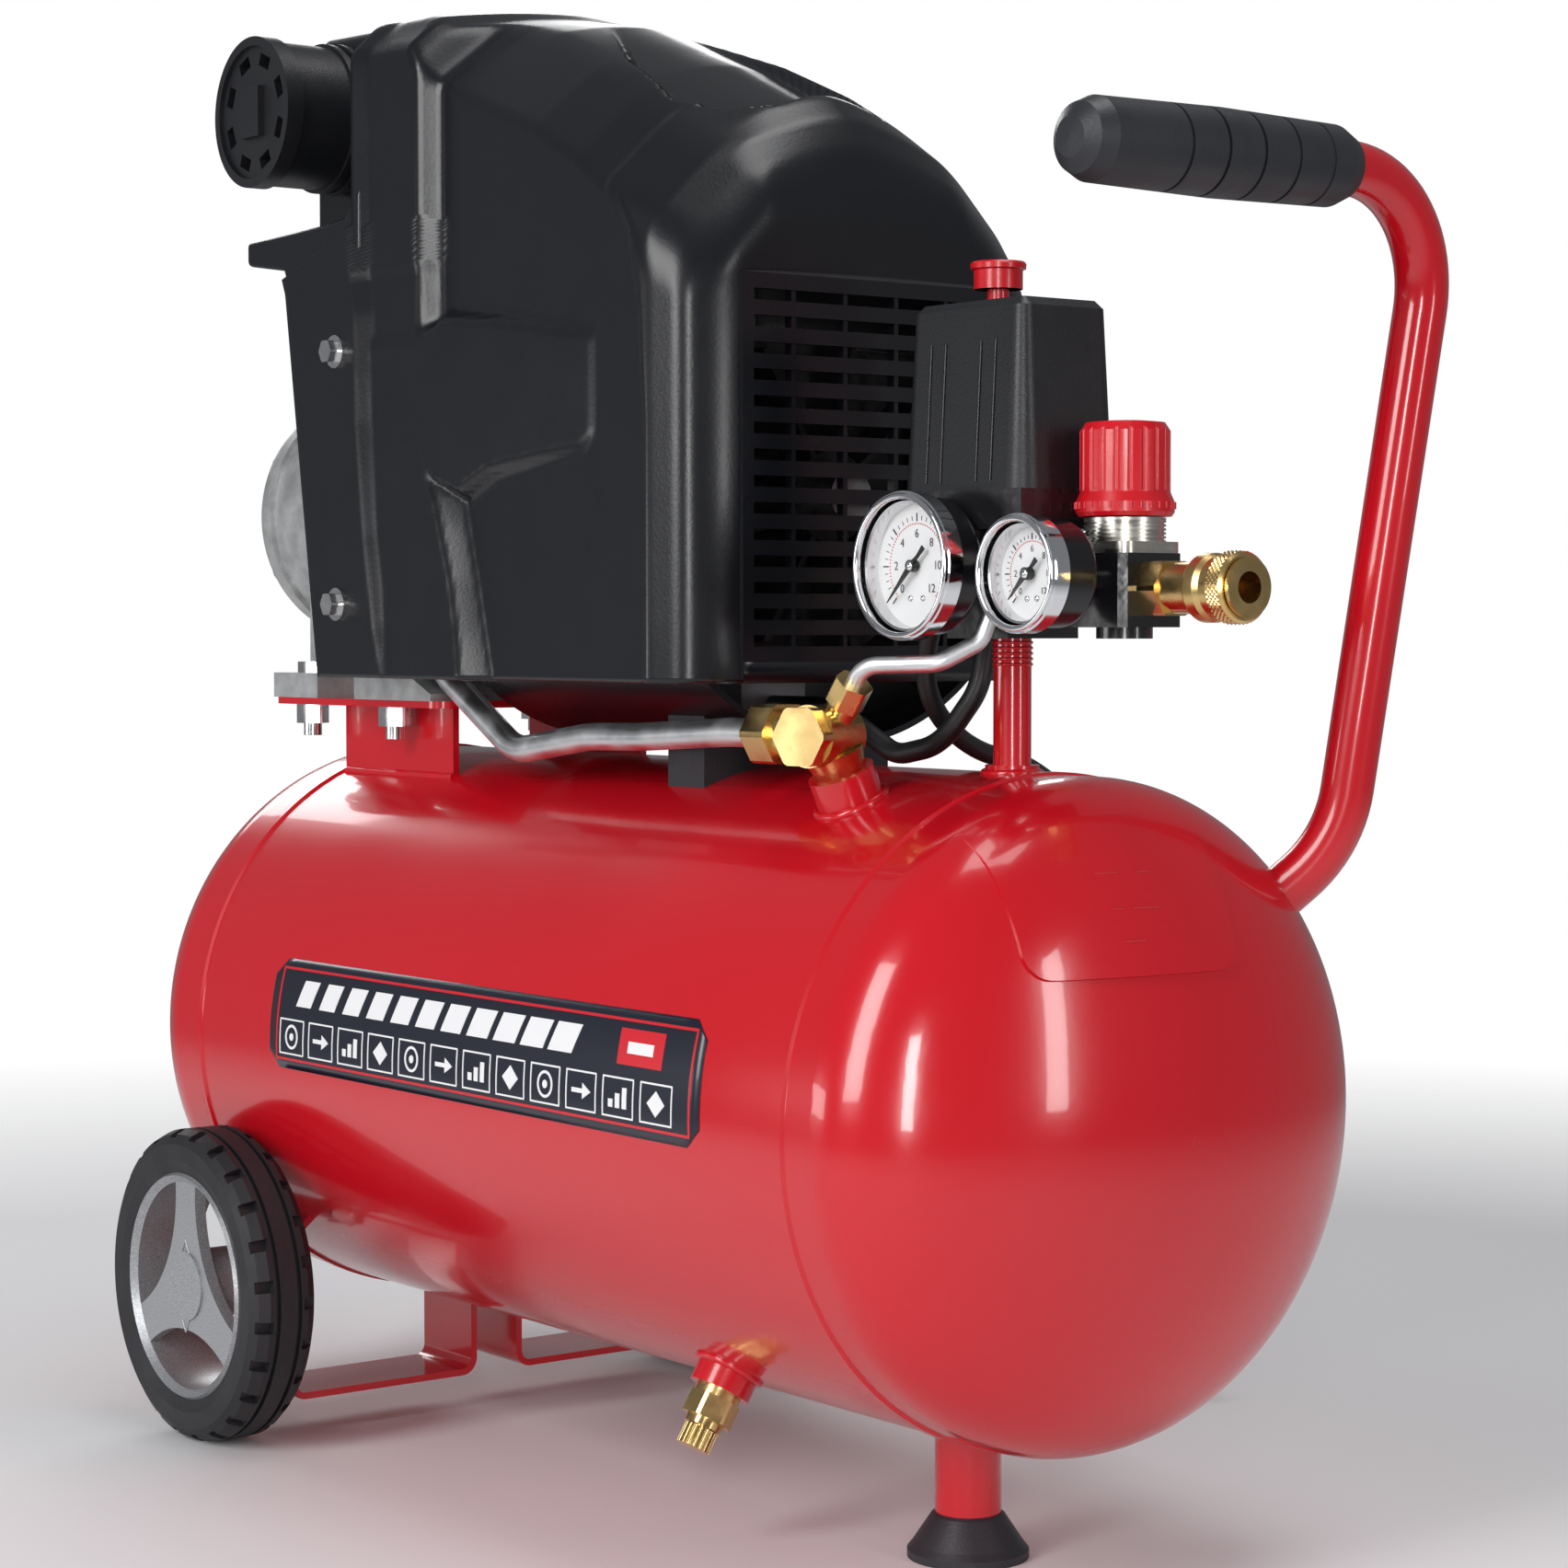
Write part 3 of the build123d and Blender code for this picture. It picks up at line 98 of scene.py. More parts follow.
world = bpy.data.worlds.new("studio")
world.use_nodes = True
scene.world = world
world_nodes = world.node_tree.nodes
world_links = world.node_tree.links
world_nodes.clear()
world_out = world_nodes.new("ShaderNodeOutputWorld")
world_mix = world_nodes.new("ShaderNodeMixShader")
world_path = world_nodes.new("ShaderNodeLightPath")
world_seen = world_nodes.new("ShaderNodeBackground")           # what the camera sees behind the floor
world_seen.inputs["Color"].default_value = (1, 1, 1, 1)
world_seen.inputs["Strength"].default_value = 1.0
world_light = world_nodes.new("ShaderNodeBackground")          # what lights the object
world_light.inputs["Color"].default_value = (0.93, 0.95, 1.0, 1)
world_light.inputs["Strength"].default_value = 0.2
world_links.new(world_path.outputs["Is Camera Ray"], world_mix.inputs["Fac"])
world_links.new(world_light.outputs["Background"], world_mix.inputs[1])
world_links.new(world_seen.outputs["Background"], world_mix.inputs[2])
world_links.new(world_mix.outputs["Shader"], world_out.inputs["Surface"])


# ------------------------------------------------------------------ materials
class Finish:
    """A procedural material: one Principled shader with helpers that add node detail to it."""

    def __init__(self, name, colour, rough, metal=0.0, coat=0.0):
        self.material = bpy.data.materials.new(name)
        self.material.use_nodes = True
        self.nodes = self.material.node_tree.nodes
        self.links = self.material.node_tree.links
        self.shader = self.nodes["Principled BSDF"]
        self.shader.inputs["Base Color"].default_value = (*colour, 1)
        self.shader.inputs["Roughness"].default_value = rough
        self.shader.inputs["Metallic"].default_value = metal
        self.shader.inputs["Coat Weight"].default_value = coat
        self.shader.inputs["Coat Roughness"].default_value = 0.05
        self.colour = colour
        self.place = self.nodes.new("ShaderNodeTexCoord").outputs["Object"]
        self.bumped = None

    def noise(self, scale, detail=3.0, stretch=None):
        """A noise value over the object's own coordinates."""
        node = self.nodes.new("ShaderNodeTexNoise")
        node.inputs["Scale"].default_value = scale
        node.inputs["Detail"].default_value = detail
        place = self.place
        if stretch:
            mapping = self.nodes.new("ShaderNodeMapping")
            mapping.inputs["Scale"].default_value = stretch
            self.links.new(self.place, mapping.inputs["Vector"])
            place = mapping.outputs["Vector"]
        self.links.new(place, node.inputs["Vector"])
        return node.outputs["Fac"]

    def spread(self, value, low, high, low_at=0.35, high_at=0.65):
        """Maps a value to a range."""
        node = self.nodes.new("ShaderNodeMapRange")
        node.inputs["From Min"].default_value = low_at
        node.inputs["From Max"].default_value = high_at
        node.inputs["To Min"].default_value = low
        node.inputs["To Max"].default_value = high
        self.links.new(value, node.inputs["Value"])
        return node.outputs["Result"]

    def vary_roughness(self, scale, low, high):
        """Wanders between two roughnesses over the surface."""
        self.links.new(self.spread(self.noise(scale), low, high), self.shader.inputs["Roughness"])

    def vary_colour(self, value, other, low=0.4, high=0.7):
        """Blends the base colour with another one by a value."""
        ramp = self.nodes.new("ShaderNodeValToRGB")
        ramp.color_ramp.elements[0].position = low
        ramp.color_ramp.elements[0].color = (*self.colour, 1)
        ramp.color_ramp.elements[1].position = high
        ramp.color_ramp.elements[1].color = (*other, 1)
        self.links.new(value, ramp.inputs["Fac"])
        self.links.new(ramp.outputs["Color"], self.shader.inputs["Base Color"])

    def bump(self, value, metres, strength):
        """Adds a bump on top of those that are already there."""
        node = self.nodes.new("ShaderNodeBump")
        node.inputs["Distance"].default_value = metres
        node.inputs["Strength"].default_value = strength
        self.links.new(value, node.inputs["Height"])
        if self.bumped:
            self.links.new(self.bumped, node.inputs["Normal"])
        self.bumped = node.outputs["Normal"]
        self.links.new(self.bumped, self.shader.inputs["Normal"])


def paint(name, colour):
    """Glossy enamel with a faint orange peel."""
    finish = Finish(name, colour, 0.2, coat=0.55)
    finish.vary_roughness(9, 0.16, 0.26)
    finish.bump(finish.noise(260, 2), 0.00006, 0.35)
    finish.bump(finish.noise(14, 1), 0.0006, 0.12)
    return finish.material


def plastic(name, colour, low, high, grain, depth, coat=0.0):
    """Moulded plastic or rubber with a fine grain."""
    finish = Finish(name, colour, low, coat=coat)
    finish.vary_roughness(35, low, high)
    finish.bump(finish.noise(grain, 2), depth, 0.5)
    return finish.material


def metal(name, colour, low, high, streaks=(1, 1, 1), scale=60, depth=0.00004, patches=None):
    """Bare metal, brushed along streaks and dulled in patches."""
    finish = Finish(name, colour, low, metal=1.0)
    value = finish.noise(scale, 5, stretch=streaks)
    finish.links.new(finish.spread(value, low, high), finish.shader.inputs["Roughness"])
    if patches:
        finish.vary_colour(finish.noise(scale * 0.6, 4), patches, 0.45, 0.75)
    finish.bump(value, depth, 0.5)
    return finish.material


def casting(name, colour, other):
    """Rough sand-cast metal."""
    finish = Finish(name, colour, 0.5, metal=0.75)
    finish.vary_colour(finish.noise(120, 6), other, 0.35, 0.7)
    finish.bump(finish.noise(900, 4), 0.0002, 0.6)
    finish.bump(finish.noise(45, 3), 0.0006, 0.3)
    return finish.material


finishes = {
    "tank_paint": paint("red_enamel", (0.56, 0.004, 0.012)),
    "cast_metal": casting("cast_aluminium", (0.42, 0.43, 0.43), (0.6, 0.61, 0.61)),
    "fastener": metal("zinc_plate", (0.72, 0.73, 0.74), 0.18, 0.34, patches=(0.6, 0.6, 0.58)),
    "inner_steel": metal("machined_steel", (0.35, 0.35, 0.36), 0.3, 0.45, streaks=(1, 6, 6)),
    "piston_metal": metal("machined_aluminium", (0.7, 0.71, 0.72), 0.25, 0.4, streaks=(6, 6, 1)),
    "tube_metal": metal(
        "drawn_tube", (0.8, 0.81, 0.82), 0.3, 0.46, scale=90, depth=0.00008, patches=(0.68, 0.69, 0.7),
    ),
    "brass": metal(
        "brass", (0.75, 0.53, 0.22), 0.16, 0.34, scale=80, depth=0.00006, patches=(0.6, 0.4, 0.17),
    ),
    "ring_steel": metal("bright_wire", (0.75, 0.75, 0.76), 0.15, 0.25),
    "shroud_plastic": plastic("satin_black", (0.0055, 0.006, 0.0085), 0.27, 0.3, 700, 0.00008),
    "black_plastic": plastic("textured_black", (0.009, 0.0095, 0.012), 0.38, 0.48, 1100, 0.0002),
    "gauge_plastic": plastic("smooth_black", (0.007, 0.007, 0.009), 0.18, 0.26, 300, 0.00004),
    "black_casting": plastic("gloss_black", (0.01, 0.01, 0.012), 0.14, 0.28, 160, 0.0003, coat=0.4),
    "bonnet_metal": metal(
        "nickel", (0.68, 0.66, 0.6), 0.2, 0.36, streaks=(1, 1, 8), patches=(0.52, 0.5, 0.44),
    ),
    "chrome": metal("chrome", (0.86, 0.87, 0.89), 0.05, 0.12, depth=0.00001),
    "dial": plastic("dial_white", (0.93, 0.93, 0.93), 0.4, 0.5, 400, 0.00003),
    "needle_black": plastic("needle_black", (0.015, 0.015, 0.015), 0.35, 0.45, 500, 0.00002),
    "red_plastic": plastic("moulded_red", (0.6, 0.006, 0.014), 0.25, 0.36, 500, 0.0001, coat=0.2),
    "tyre": plastic("tyre_rubber", (0.012, 0.012, 0.015), 0.5, 0.66, 500, 0.0003),
    "rubber": plastic("grip_rubber", (0.02, 0.021, 0.026), 0.42, 0.55, 800, 0.0002),
    "cord_jacket": plastic("cord_jacket", (0.01, 0.01, 0.011), 0.36, 0.48, 600, 0.0001),
}
wheel_finish = Finish("silver_flake", (0.3, 0.31, 0.32), 0.35, metal=0.55)
wheel_finish.vary_colour(wheel_finish.noise(1800, 2), (0.46, 0.47, 0.49), 0.45, 0.6)
wheel_finish.bump(wheel_finish.noise(600, 2), 0.00008, 0.4)
finishes["wheel_silver"] = wheel_finish.material

lens_finish = Finish("clear_lens", (1, 1, 1), 0.03)
lens_finish.shader.inputs["Transmission Weight"].default_value = 1.0
lens_finish.shader.inputs["IOR"].default_value = 1.15
lens_finish.bump(lens_finish.noise(40, 1), 0.00002, 0.1)
finishes["lens"] = lens_finish.material

slot_of = {s["node"]: s["material_slot"] for s in frame["record"]["subparts"]}
for name, node in nodes.items():
    node.data.materials.clear()
    node.data.materials.append(finishes[slot_of[name]])


# the floor's disc fades out between these distances from the middle, in metres
FLOOR_NEAR, FLOOR_FAR = 0.75, 1.5
FLOOR_SIZE = 14
floor_finish = Finish("studio_floor", (0.8, 0.8, 0.81), 0.85)
floor_finish.bump(floor_finish.noise(30, 2), 0.0003, 0.2)
reach = floor_finish.nodes.new("ShaderNodeVectorMath")
reach.operation = "LENGTH"
floor_finish.links.new(floor_finish.place, reach.inputs[0])
fade = floor_finish.spread(reach.outputs["Value"], 1.0, 0.0, FLOOR_NEAR, FLOOR_FAR)
floor_finish.links.new(fade, floor_finish.shader.inputs["Alpha"])
bpy.ops.mesh.primitive_plane_add(size=FLOOR_SIZE, location=(0, 0, 0))
floor = bpy.context.object
floor.name = "studio_floor"
floor.data.materials.append(floor_finish.material)


# ------------------------------------------------------------------ pieces
def piece(name, verts, faces, slot, body="frame", smooth=True):
    """A mesh piece in the row frame that rides on a body and takes a slot's finish."""
    mesh = bpy.data.meshes.new(name)
    mesh.from_pydata([tuple(v) for v in verts], [], faces)
    mesh.update()
    obj = bpy.data.objects.new(name, mesh)
    scene.collection.objects.link(obj)
    mesh.materials.append(finishes[slot])
    if smooth:
        mesh.shade_smooth()
    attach(obj, body)
    return obj


def closed_normals(obj):
    """Makes a closed mesh's faces point outwards."""
    bm = bmesh.new()
    bm.from_mesh(obj.data)
    bmesh.ops.recalc_face_normals(bm, faces=bm.faces)
    bm.to_mesh(obj.data)
    bm.free()


def curve_piece(name, points, radius, slot, body="frame", cyclic=False):
    """A round bar along a smooth spline through control points, in metres."""
    data = bpy.data.curves.new(name, "CURVE")
    data.dimensions = "3D"
    data.bevel_depth = radius
    data.bevel_resolution = 5
    data.resolution_u = 8
    data.use_fill_caps = True
    spline = data.splines.new("NURBS")
    spline.points.add(len(points) - 1)
    for p, q in zip(spline.points, points):
        p.co = (*q, 1)
    spline.order_u = 3
    spline.use_endpoint_u = not cyclic
    spline.use_cyclic_u = cyclic
    obj = bpy.data.objects.new(name, data)
    scene.collection.objects.link(obj)
    data.materials.append(finishes[slot])
    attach(obj, body)
    return obj


def lathe(name, base, axis, profile, slot, body="frame", segments=40, ring=False):
    """A turned solid on a base point in mm.

    The profile is a run of (radius, height). It is capped at its ends, or joined end to end for a ring.
    """
    axis = Vector(axis).normalized()
    side = axis.orthogonal().normalized()
    other = axis.cross(side)
    verts, faces, rings = [], [], []
    for r, h in profile:
        if r < 0.001:
            rings.append([len(verts)])
            verts.append(at(*(Vector(base) + axis * h)))
            continue
        rings.append(list(range(len(verts), len(verts) + segments)))
        for k in range(segments):
            a = 2 * math.pi * k / segments
            out = side * math.cos(a) + other * math.sin(a)
            verts.append(at(*(Vector(base) + axis * h + out * r)))
    if ring:
        rings.append(rings[0])
    for low, high in zip(rings, rings[1:]):
        for k in range(segments):
            quad = (
                low[k % len(low)], low[(k + 1) % len(low)], high[(k + 1) % len(high)], high[k % len(high)],
            )
            faces.append(tuple(dict.fromkeys(quad)))
    for end in (rings[0], rings[-1]):
        if len(end) > 1 and not ring:
            faces.append(tuple(end))
    obj = piece(name, verts, faces, slot, body)
    closed_normals(obj)
    obj.data.shade_smooth()
    split = obj.modifiers.new("split", "EDGE_SPLIT")
    split.split_angle = math.radians(35)


def circle(count):
    """Evenly spaced points of a circle of radius 1."""
    return [(math.cos(t), math.sin(t)) for t in np.linspace(0, 2 * math.pi, count + 1)[:-1]]


# ------------------------------------------------------------------ mains cord
CORD_R = 3.75
COIL_X, COIL_Y = -75.0, 215.0
TURN_POINTS = 14
TIE_POINTS = 16
TIE_X, TIE_Z = COIL_X - 41, 13.2
TIE_WIDE, TIE_TALL = 9.6, 12.0
route = [
    (158.5, -9, 354.56), (150.5, -9, 340.5), (147.5, -3, 318), (146.5, 20, 301.5), (142, 50, 297),
    (134, 82, 280), (125, 111, 247), (113, 130, 205), (99, 138, 160), (84, 140, 116), (66, 144, 75),
    (46, 150, 41), (22, 157, 16), (-6, 165, 4.35), (-30, 168.5, 3.75), (-53, 170.1, 3.75),
]
# radius and height of each turn of the coil, from where the cord comes in to where it goes to the plug
turns = [(44.6, 3.75), (37.3, 3.75), (37.3, 11.25), (44.6, 11.25), (44.6, 18.6)]
for i in range(TURN_POINTS * len(turns) + TURN_POINTS // 2 - 1):
    k, part = divmod(i, TURN_POINTS)
    r0, z0 = turns[min(k, len(turns) - 1)]
    r1, z1 = turns[min(k + 1, len(turns) - 1)]
    blend = max(0.0, (part - TURN_POINTS + 4) / 4)
    angle = math.radians(-90) - 2 * math.pi * (i + 0.5) / TURN_POINTS
    r = r0 + (r1 - r0) * blend
    route.append((COIL_X + r * math.cos(angle), COIL_Y + r * math.sin(angle), z0 + (z1 - z0) * blend))
# the last turn comes down to the plug
route += [
    (COIL_X - 8, COIL_Y + 44.8, 17.5), (COIL_X + 8, COIL_Y + 44.8, 14), (COIL_X + 27.5, COIL_Y + 44.75, 9),
]
mains_cord = curve_piece("mains_cord_line", [at(*p) for p in route], CORD_R * MM, "cord_jacket")
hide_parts("mains_cord", "mains_cord_coil")

tie_points = []
for i in range(TIE_POINTS):
    a = 2 * math.pi * i / TIE_POINTS
    tie_points.append(at(TIE_X - TIE_WIDE * math.cos(a), COIL_Y, TIE_Z + TIE_TALL * math.sin(a)))
cord_tie = curve_piece("cord_tie", tie_points, 0.0011, "cord_jacket", cyclic=True)

# ------------------------------------------------------------------ shroud
# Heights and stations in mm, from the middle of the tank.
SIDE = 92.0                # half the shroud's width
FRONT = 109.0              # station of the grille's window
SHROUD_BOTTOM = 328.0
WALL_TOP = 500.0           # the side walls are meshed in level rows up to here, and the roof in a fan above
BEVEL_TOP = 497.0          # the rear bevel leans below this height and stands upright above it
BEVEL_DEPTH, BEVEL_WIDTH, UPPER_BEVEL_DEPTH = 4.0, 11, 3.6
PAD_DEPTH = 3.0            # of the raised pad, inside the outermost plane
SHOULDER_Z = 552.0
CAP_X = 84.0               # station where the side mesh ends and the front cap begins
SPINE_X = 55.0             # station inside the shroud that the cap's rays start from
WINDOW_Y = 62.0            # half the window's width
WINDOW_Z = 482.0
SILL_TOP = 336.0
WALL_ROWS, FAN_ROWS, COLUMNS, CAP_STEPS, SILL_POINTS = 78, 190, 120, 26, 24
RAY_REACH = 6.0            # of a ray, as a multiple of its way to the point that it is aimed at
RAY_HALVINGS = 34


def curve_at(x, *points):
    """Height of a line drawn through (station, height) points."""
    return np.interp(x, [p[0] for p in points], [p[1] for p in points])


def ramp(value, low, high):
    """0 below low, 1 above high, smooth between."""
    t = np.clip((value - low) / (high - low), 0, 1)
    return t * t * (3 - 2 * t)


def straight_ramp(value, low, high):
    """0 below low, 1 above high, straight between."""
    return np.clip((value - low) / (high - low), 0, 1)


def blend_max(a, b, k):
    """The greater of two distances, rounded over a width k where they meet."""
    h = np.clip(0.5 + 0.5 * (a - b) / k, 0, 1)
    return b + (a - b) * h + k * h * (1 - h)


def side_depth(x, z):
    """How far the side wall lies inside its outermost plane."""
    bevel_out = curve_at(z, (328, -104), (350, -111), (388, -118.4), (435, -124), (481, -125), (497, -129))
    bevel_in = curve_at(z, (328, -103), (365, -107.2), (388, -111.4), (427, -115), (481, -114.4), (497, -118))
    step = BEVEL_DEPTH * (bevel_in - bevel_out) / BEVEL_WIDTH
    depth = step * straight_ramp(x, bevel_out, bevel_in)
    depth = np.where(z > BEVEL_TOP, UPPER_BEVEL_DEPTH * straight_ramp(x, -128, -118), depth)
    # the recessed panel, deepest at its rear edge
    outer = curve_at(z, (328, -45), (342, -48), (372, -56), (402, -67), (414, -75), (480, -80), (600, -80))
    inner = curve_at(z, (328, -31), (365, -41.5), (387, -49), (404, -53), (414, -66), (480, -71), (600, -71))
    main = np.clip(11 - (x + 68) / 154 * 9.5, 0, 12)
    right = curve_at(z, (328, 86), (428, 86), (472, 83), (498, 76), (516, 64), (530, 58), (600, 58))
    main = main * (1 - straight_ramp(x, right - 1.2, right + 1.2))
    depth = depth + (main - depth) * straight_ramp(x, outer, inner)
    # raised pad in the middle of the panel
    pad_top = curve_at(x, (-86, 467), (-61, 475), (-23, 472), (48, 461))
    pad_low = curve_at(x, (-81, 415), (-48, 403.5), (-26, 411.5), (24, 417), (40, 418.5), (48, 424))
    inside = straight_ramp(z, pad_low - 2.5, pad_low + 1) * (1 - straight_ramp(z, pad_top - 1, pad_top + 3))
    inside = inside * (1 - straight_ramp(x, 46.5, 49.5))
    return depth + (np.minimum(depth, PAD_DEPTH) - depth) * inside


def roof_height(x, y):
    """Height of the roof, without its shoulders."""
    ridge = curve_at(
        x, (-244, 616), (-200, 615), (-148, 613), (-98, 611.5), (-90, 610), (-82, 606.5), (-43, 599),
        (21, 580.5), (60, 566), (81, 556), (92, 546), (101, 533), (107, 521), (109, 515), (112, 495),
    )
    crown = curve_at(x, (-244, 5), (-90, 6), (-60, 10), (-43, 12), (22, 17), (81, 24), (100, 16), (109, 3))
    height = ridge - crown * np.abs(y / 60) ** 1.6
    # shallow channel down the middle of the roof
    near = curve_at(x, (-40, -20), (10, -44), (50, -50), (70, -42), (84, -20))
    far = curve_at(x, (-40, 20), (10, 22), (60, 26), (84, 30))
    deep = curve_at(x, (-40, 0), (0, 4), (60, 9), (84, 9))
    across = ramp(y, near - 1, near + 4) * (1 - ramp(y, far - 3, far + 1))
    inside = across * (1 - ramp(x, 70, 82)) * ramp(x, -44, -36)
    return height - deep * inside


def shoulder_height(x, y):
    """Height of the sloping shoulder between the side wall and the roof."""
    crease = curve_at(
        x, (-130, 590), (-86, 588), (-74, 573), (-54, 565.5), (3.5, 545.5), (35.6, 530), (62, 514), (86, 497),
        (109, 470),
    )
    slope = curve_at(x, (-110, 0.95), (-60, 0.76), (22, 0.86), (80, 1.0), (109, 1.0))
    depth = side_depth(x, np.full_like(x, SHOULDER_Z))
    return crease + slope * (SIDE - depth - np.abs(y))


def shroud_field(x, y, z):
    """Negative inside the shroud's outer surface."""
    wide = np.abs(y)
    side = wide - SIDE + side_depth(x, z)
    # the flat band that cuts the corner between the side wall and the front
    band = ((wide - SIDE) * 16.5 + (x - 87) * 7.5) / 18.1
    front = x - FRONT + np.clip(wide - WINDOW_Y, 0, None) ** 2 / 75
    wall = blend_max(blend_max(side, band, 1.5), front, 3.0)
    roof = (z - roof_height(x, y)) * 0.9
    shoulder = (z - shoulder_height(x, y)) * 0.75
    top = blend_max(roof, shoulder, 3.0)
    rounding = 3.0 + 9.0 * ramp(x, 55, 90)
    return blend_max(wall, top, rounding)


def surface_hits(origin, aim):
    """Where rays from inside the shroud through given points meet its outer surface."""
    low = np.zeros(len(origin))
    high = np.full(len(origin), RAY_REACH)
    way = aim - origin
    for _ in range(RAY_HALVINGS):
        middle = (low + high) / 2
        p = origin + way * middle[:, None]
        inside = shroud_field(p[:, 0], p[:, 1], p[:, 2]) < 0
        low = np.where(inside, middle, low)
        high = np.where(inside, high, middle)
    return origin + way * ((low + high) / 2)[:, None]


def shroud_mesh():
    """The shroud's outer surface: rows over the top from side to side, a cap round the window, and a sill."""
    wall_z = np.linspace(SHROUD_BOTTOM, WALL_TOP, WALL_ROWS)
    fan = np.linspace(0, math.pi, FAN_ROWS)[1:-1]
    rows = [(-1.0, z, None) for z in wall_z]
    rows += [(None, None, a) for a in fan]
    rows += [(1.0, z, None) for z in wall_z[::-1]]
    columns = np.linspace(0, 1, COLUMNS)
    origin, aim = [], []
    for side, z, a in rows:
        height = WALL_TOP if a is not None else z
        left = curve_at(height, (328, -157), (493, -183), (500, -186))
        if a is not None:
            left = -127 - 59 * (max(0.0, 1 - math.sin(a) / 0.2))
        for t in columns:
            x = left + (CAP_X - left) * t
            if a is None:
                origin.append((x, 0, z))
                aim.append((x, side * SIDE, z))
            else:
                origin.append((x, 0, WALL_TOP))
                aim.append((x, -SIDE * math.cos(a), WALL_TOP + SIDE * math.sin(a)))
    strip = surface_hits(np.array(origin), np.array(aim))
    n_rows, n_cols = len(rows), len(columns)
    verts = list(strip)
    faces = []
    for i in range(n_rows - 1):
        for j in range(n_cols - 1):
            a = i * n_cols + j
            faces.append((a, a + 1, a + n_cols + 1, a + n_cols))
    # cap: from the last column to the window of the grille
    origin, aim = [], []
    upper = [i for i, (side, z, a) in enumerate(rows) if a is not None or z > WINDOW_Z]

    def window_point(i):
        side, z, a = rows[i]
        if i in upper:
            t = (i - upper[0] + 1) / (len(upper) + 1)
            return (FRONT, -WINDOW_Y * math.cos(math.pi * t), WINDOW_Z)
        return (FRONT, side * WINDOW_Y, z)

    for i in range(n_rows):
        edge = strip[i * n_cols + n_cols - 1]
        window = np.array(window_point(i))
        level = min(WALL_TOP, max(edge[2], WINDOW_Z)) - 10 if i in upper else rows[i][1]
        spine = np.array((SPINE_X, 0.0, level))
        for k in range(1, CAP_STEPS):
            t = k / CAP_STEPS
            origin.append(spine)
            aim.append(edge + (window - edge) * t)
    cap = surface_hits(np.array(origin), np.array(aim))
    base = len(verts)
    per = CAP_STEPS - 1
    verts += list(cap)
    window_base = len(verts)
    verts += [window_point(i) for i in range(n_rows)]

    def cap_row(i):
        return [i * n_cols + n_cols - 1] + [base + i * per + k for k in range(per)] + [window_base + i]

    for i in range(n_rows - 1):
        here, there = cap_row(i), cap_row(i + 1)
        for k in range(len(here) - 1):
            faces.append((here[k], here[k + 1], there[k + 1], there[k]))
    # sill below the window
    sill = len(verts)
    for z in (SHROUD_BOTTOM, SILL_TOP):
        for y in np.linspace(-WINDOW_Y, WINDOW_Y, SILL_POINTS):
            verts.append((FRONT, y, z))
    for j in range(SILL_POINTS - 1):
        above = sill + SILL_POINTS + j
        faces.append((sill + j, sill + j + 1, above + 1, above))
    return [at(*v) for v in verts], faces


verts, faces = shroud_mesh()
shroud = piece("shroud_shell", verts, faces, "shroud_plastic")
bm = bmesh.new()
bm.from_mesh(shroud.data)
bmesh.ops.remove_doubles(bm, verts=bm.verts, dist=0.00005)
bmesh.ops.recalc_face_normals(bm, faces=bm.faces)
bm.faces.ensure_lookup_table()
nearest = min(bm.faces, key=lambda f: f.calc_center_median().y)
if nearest.normal.y > 0:
    bmesh.ops.reverse_faces(bm, faces=bm.faces)
bm.to_mesh(shroud.data)
bm.free()
shell = shroud.modifiers.new("shell", "SOLIDIFY")
shell.thickness = 0.0028
shell.offset = -1
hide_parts("shroud")


def rounded_block(name, profile, y0, y1, slot, width, segments):
    """An outline in X and Z, drawn out between two values of Y, with rounded edges."""
    n = len(profile)
    verts = [at(x, y0, z) for x, z in profile] + [at(x, y1, z) for x, z in profile]
    faces = [tuple(range(n)), tuple(range(2 * n - 1, n - 1, -1))]
    faces += [(i, i + n, (i + 1) % n + n, (i + 1) % n) for i in range(n)]
    obj = piece(name, verts, faces, slot)
    closed_normals(obj)
    edge = obj.modifiers.new("edge", "BEVEL")
    edge.width = width * MM
    edge.segments = segments
    edge.limit_method = "ANGLE"
    edge.angle_limit = math.radians(25)
    edge.harden_normals = True


rounded_block(
    "shroud_head_cover",
    [(-120, 512), (-120, 609), (-148, 611), (-200, 614), (-236, 615.5), (-243, 610), (-243, 512)],
    -42, 88, "shroud_plastic", 6, 4,
)
rounded_block(
    "shroud_ledge",
    [
        (-122, 507), (-122, 535), (-134, 522.5), (-150, 521), (-219, 519), (-219, 508.5), (-187, 504),
        (-184, 498),
    ],
    -91, -34, "shroud_plastic", 2.2, 3,
)
rounded_block(
    "shroud_far_ledge", [(-122, 507), (-122, 535), (-219, 535), (-219, 508.5), (-187, 504), (-184, 498)],
    34, 91, "shroud_plastic", 2.2, 3,
)

# ------------------------------------------------------------------ decal on the tank
DECAL_X = (-144.5, 164.5)
DECAL_TURN = (-4.0, 17.5)          # degrees above the tank's middle, on the gauge side
TANK_R, TANK_Z = 123.0, 172.6
DEGREE = math.degrees(1 / TANK_R)  # of turn for each mm round the tank
GROUND_HEIGHT, PRINT_HEIGHT, UPPER_PRINT_HEIGHT = 0.12, 0.42, 0.62      # above the tank's skin, in mm
PRINT_THICK = 0.25
BOXES, BOX_PITCH, BOX_W = 12, 24.0, 20.0
STRIPES, STRIPE_PITCH, STRIPE_W = 11, 19, 12
PANEL_COLUMNS, PANEL_ROWS, BAR_STEPS, RING_STEPS = 40, 14, 6, 20


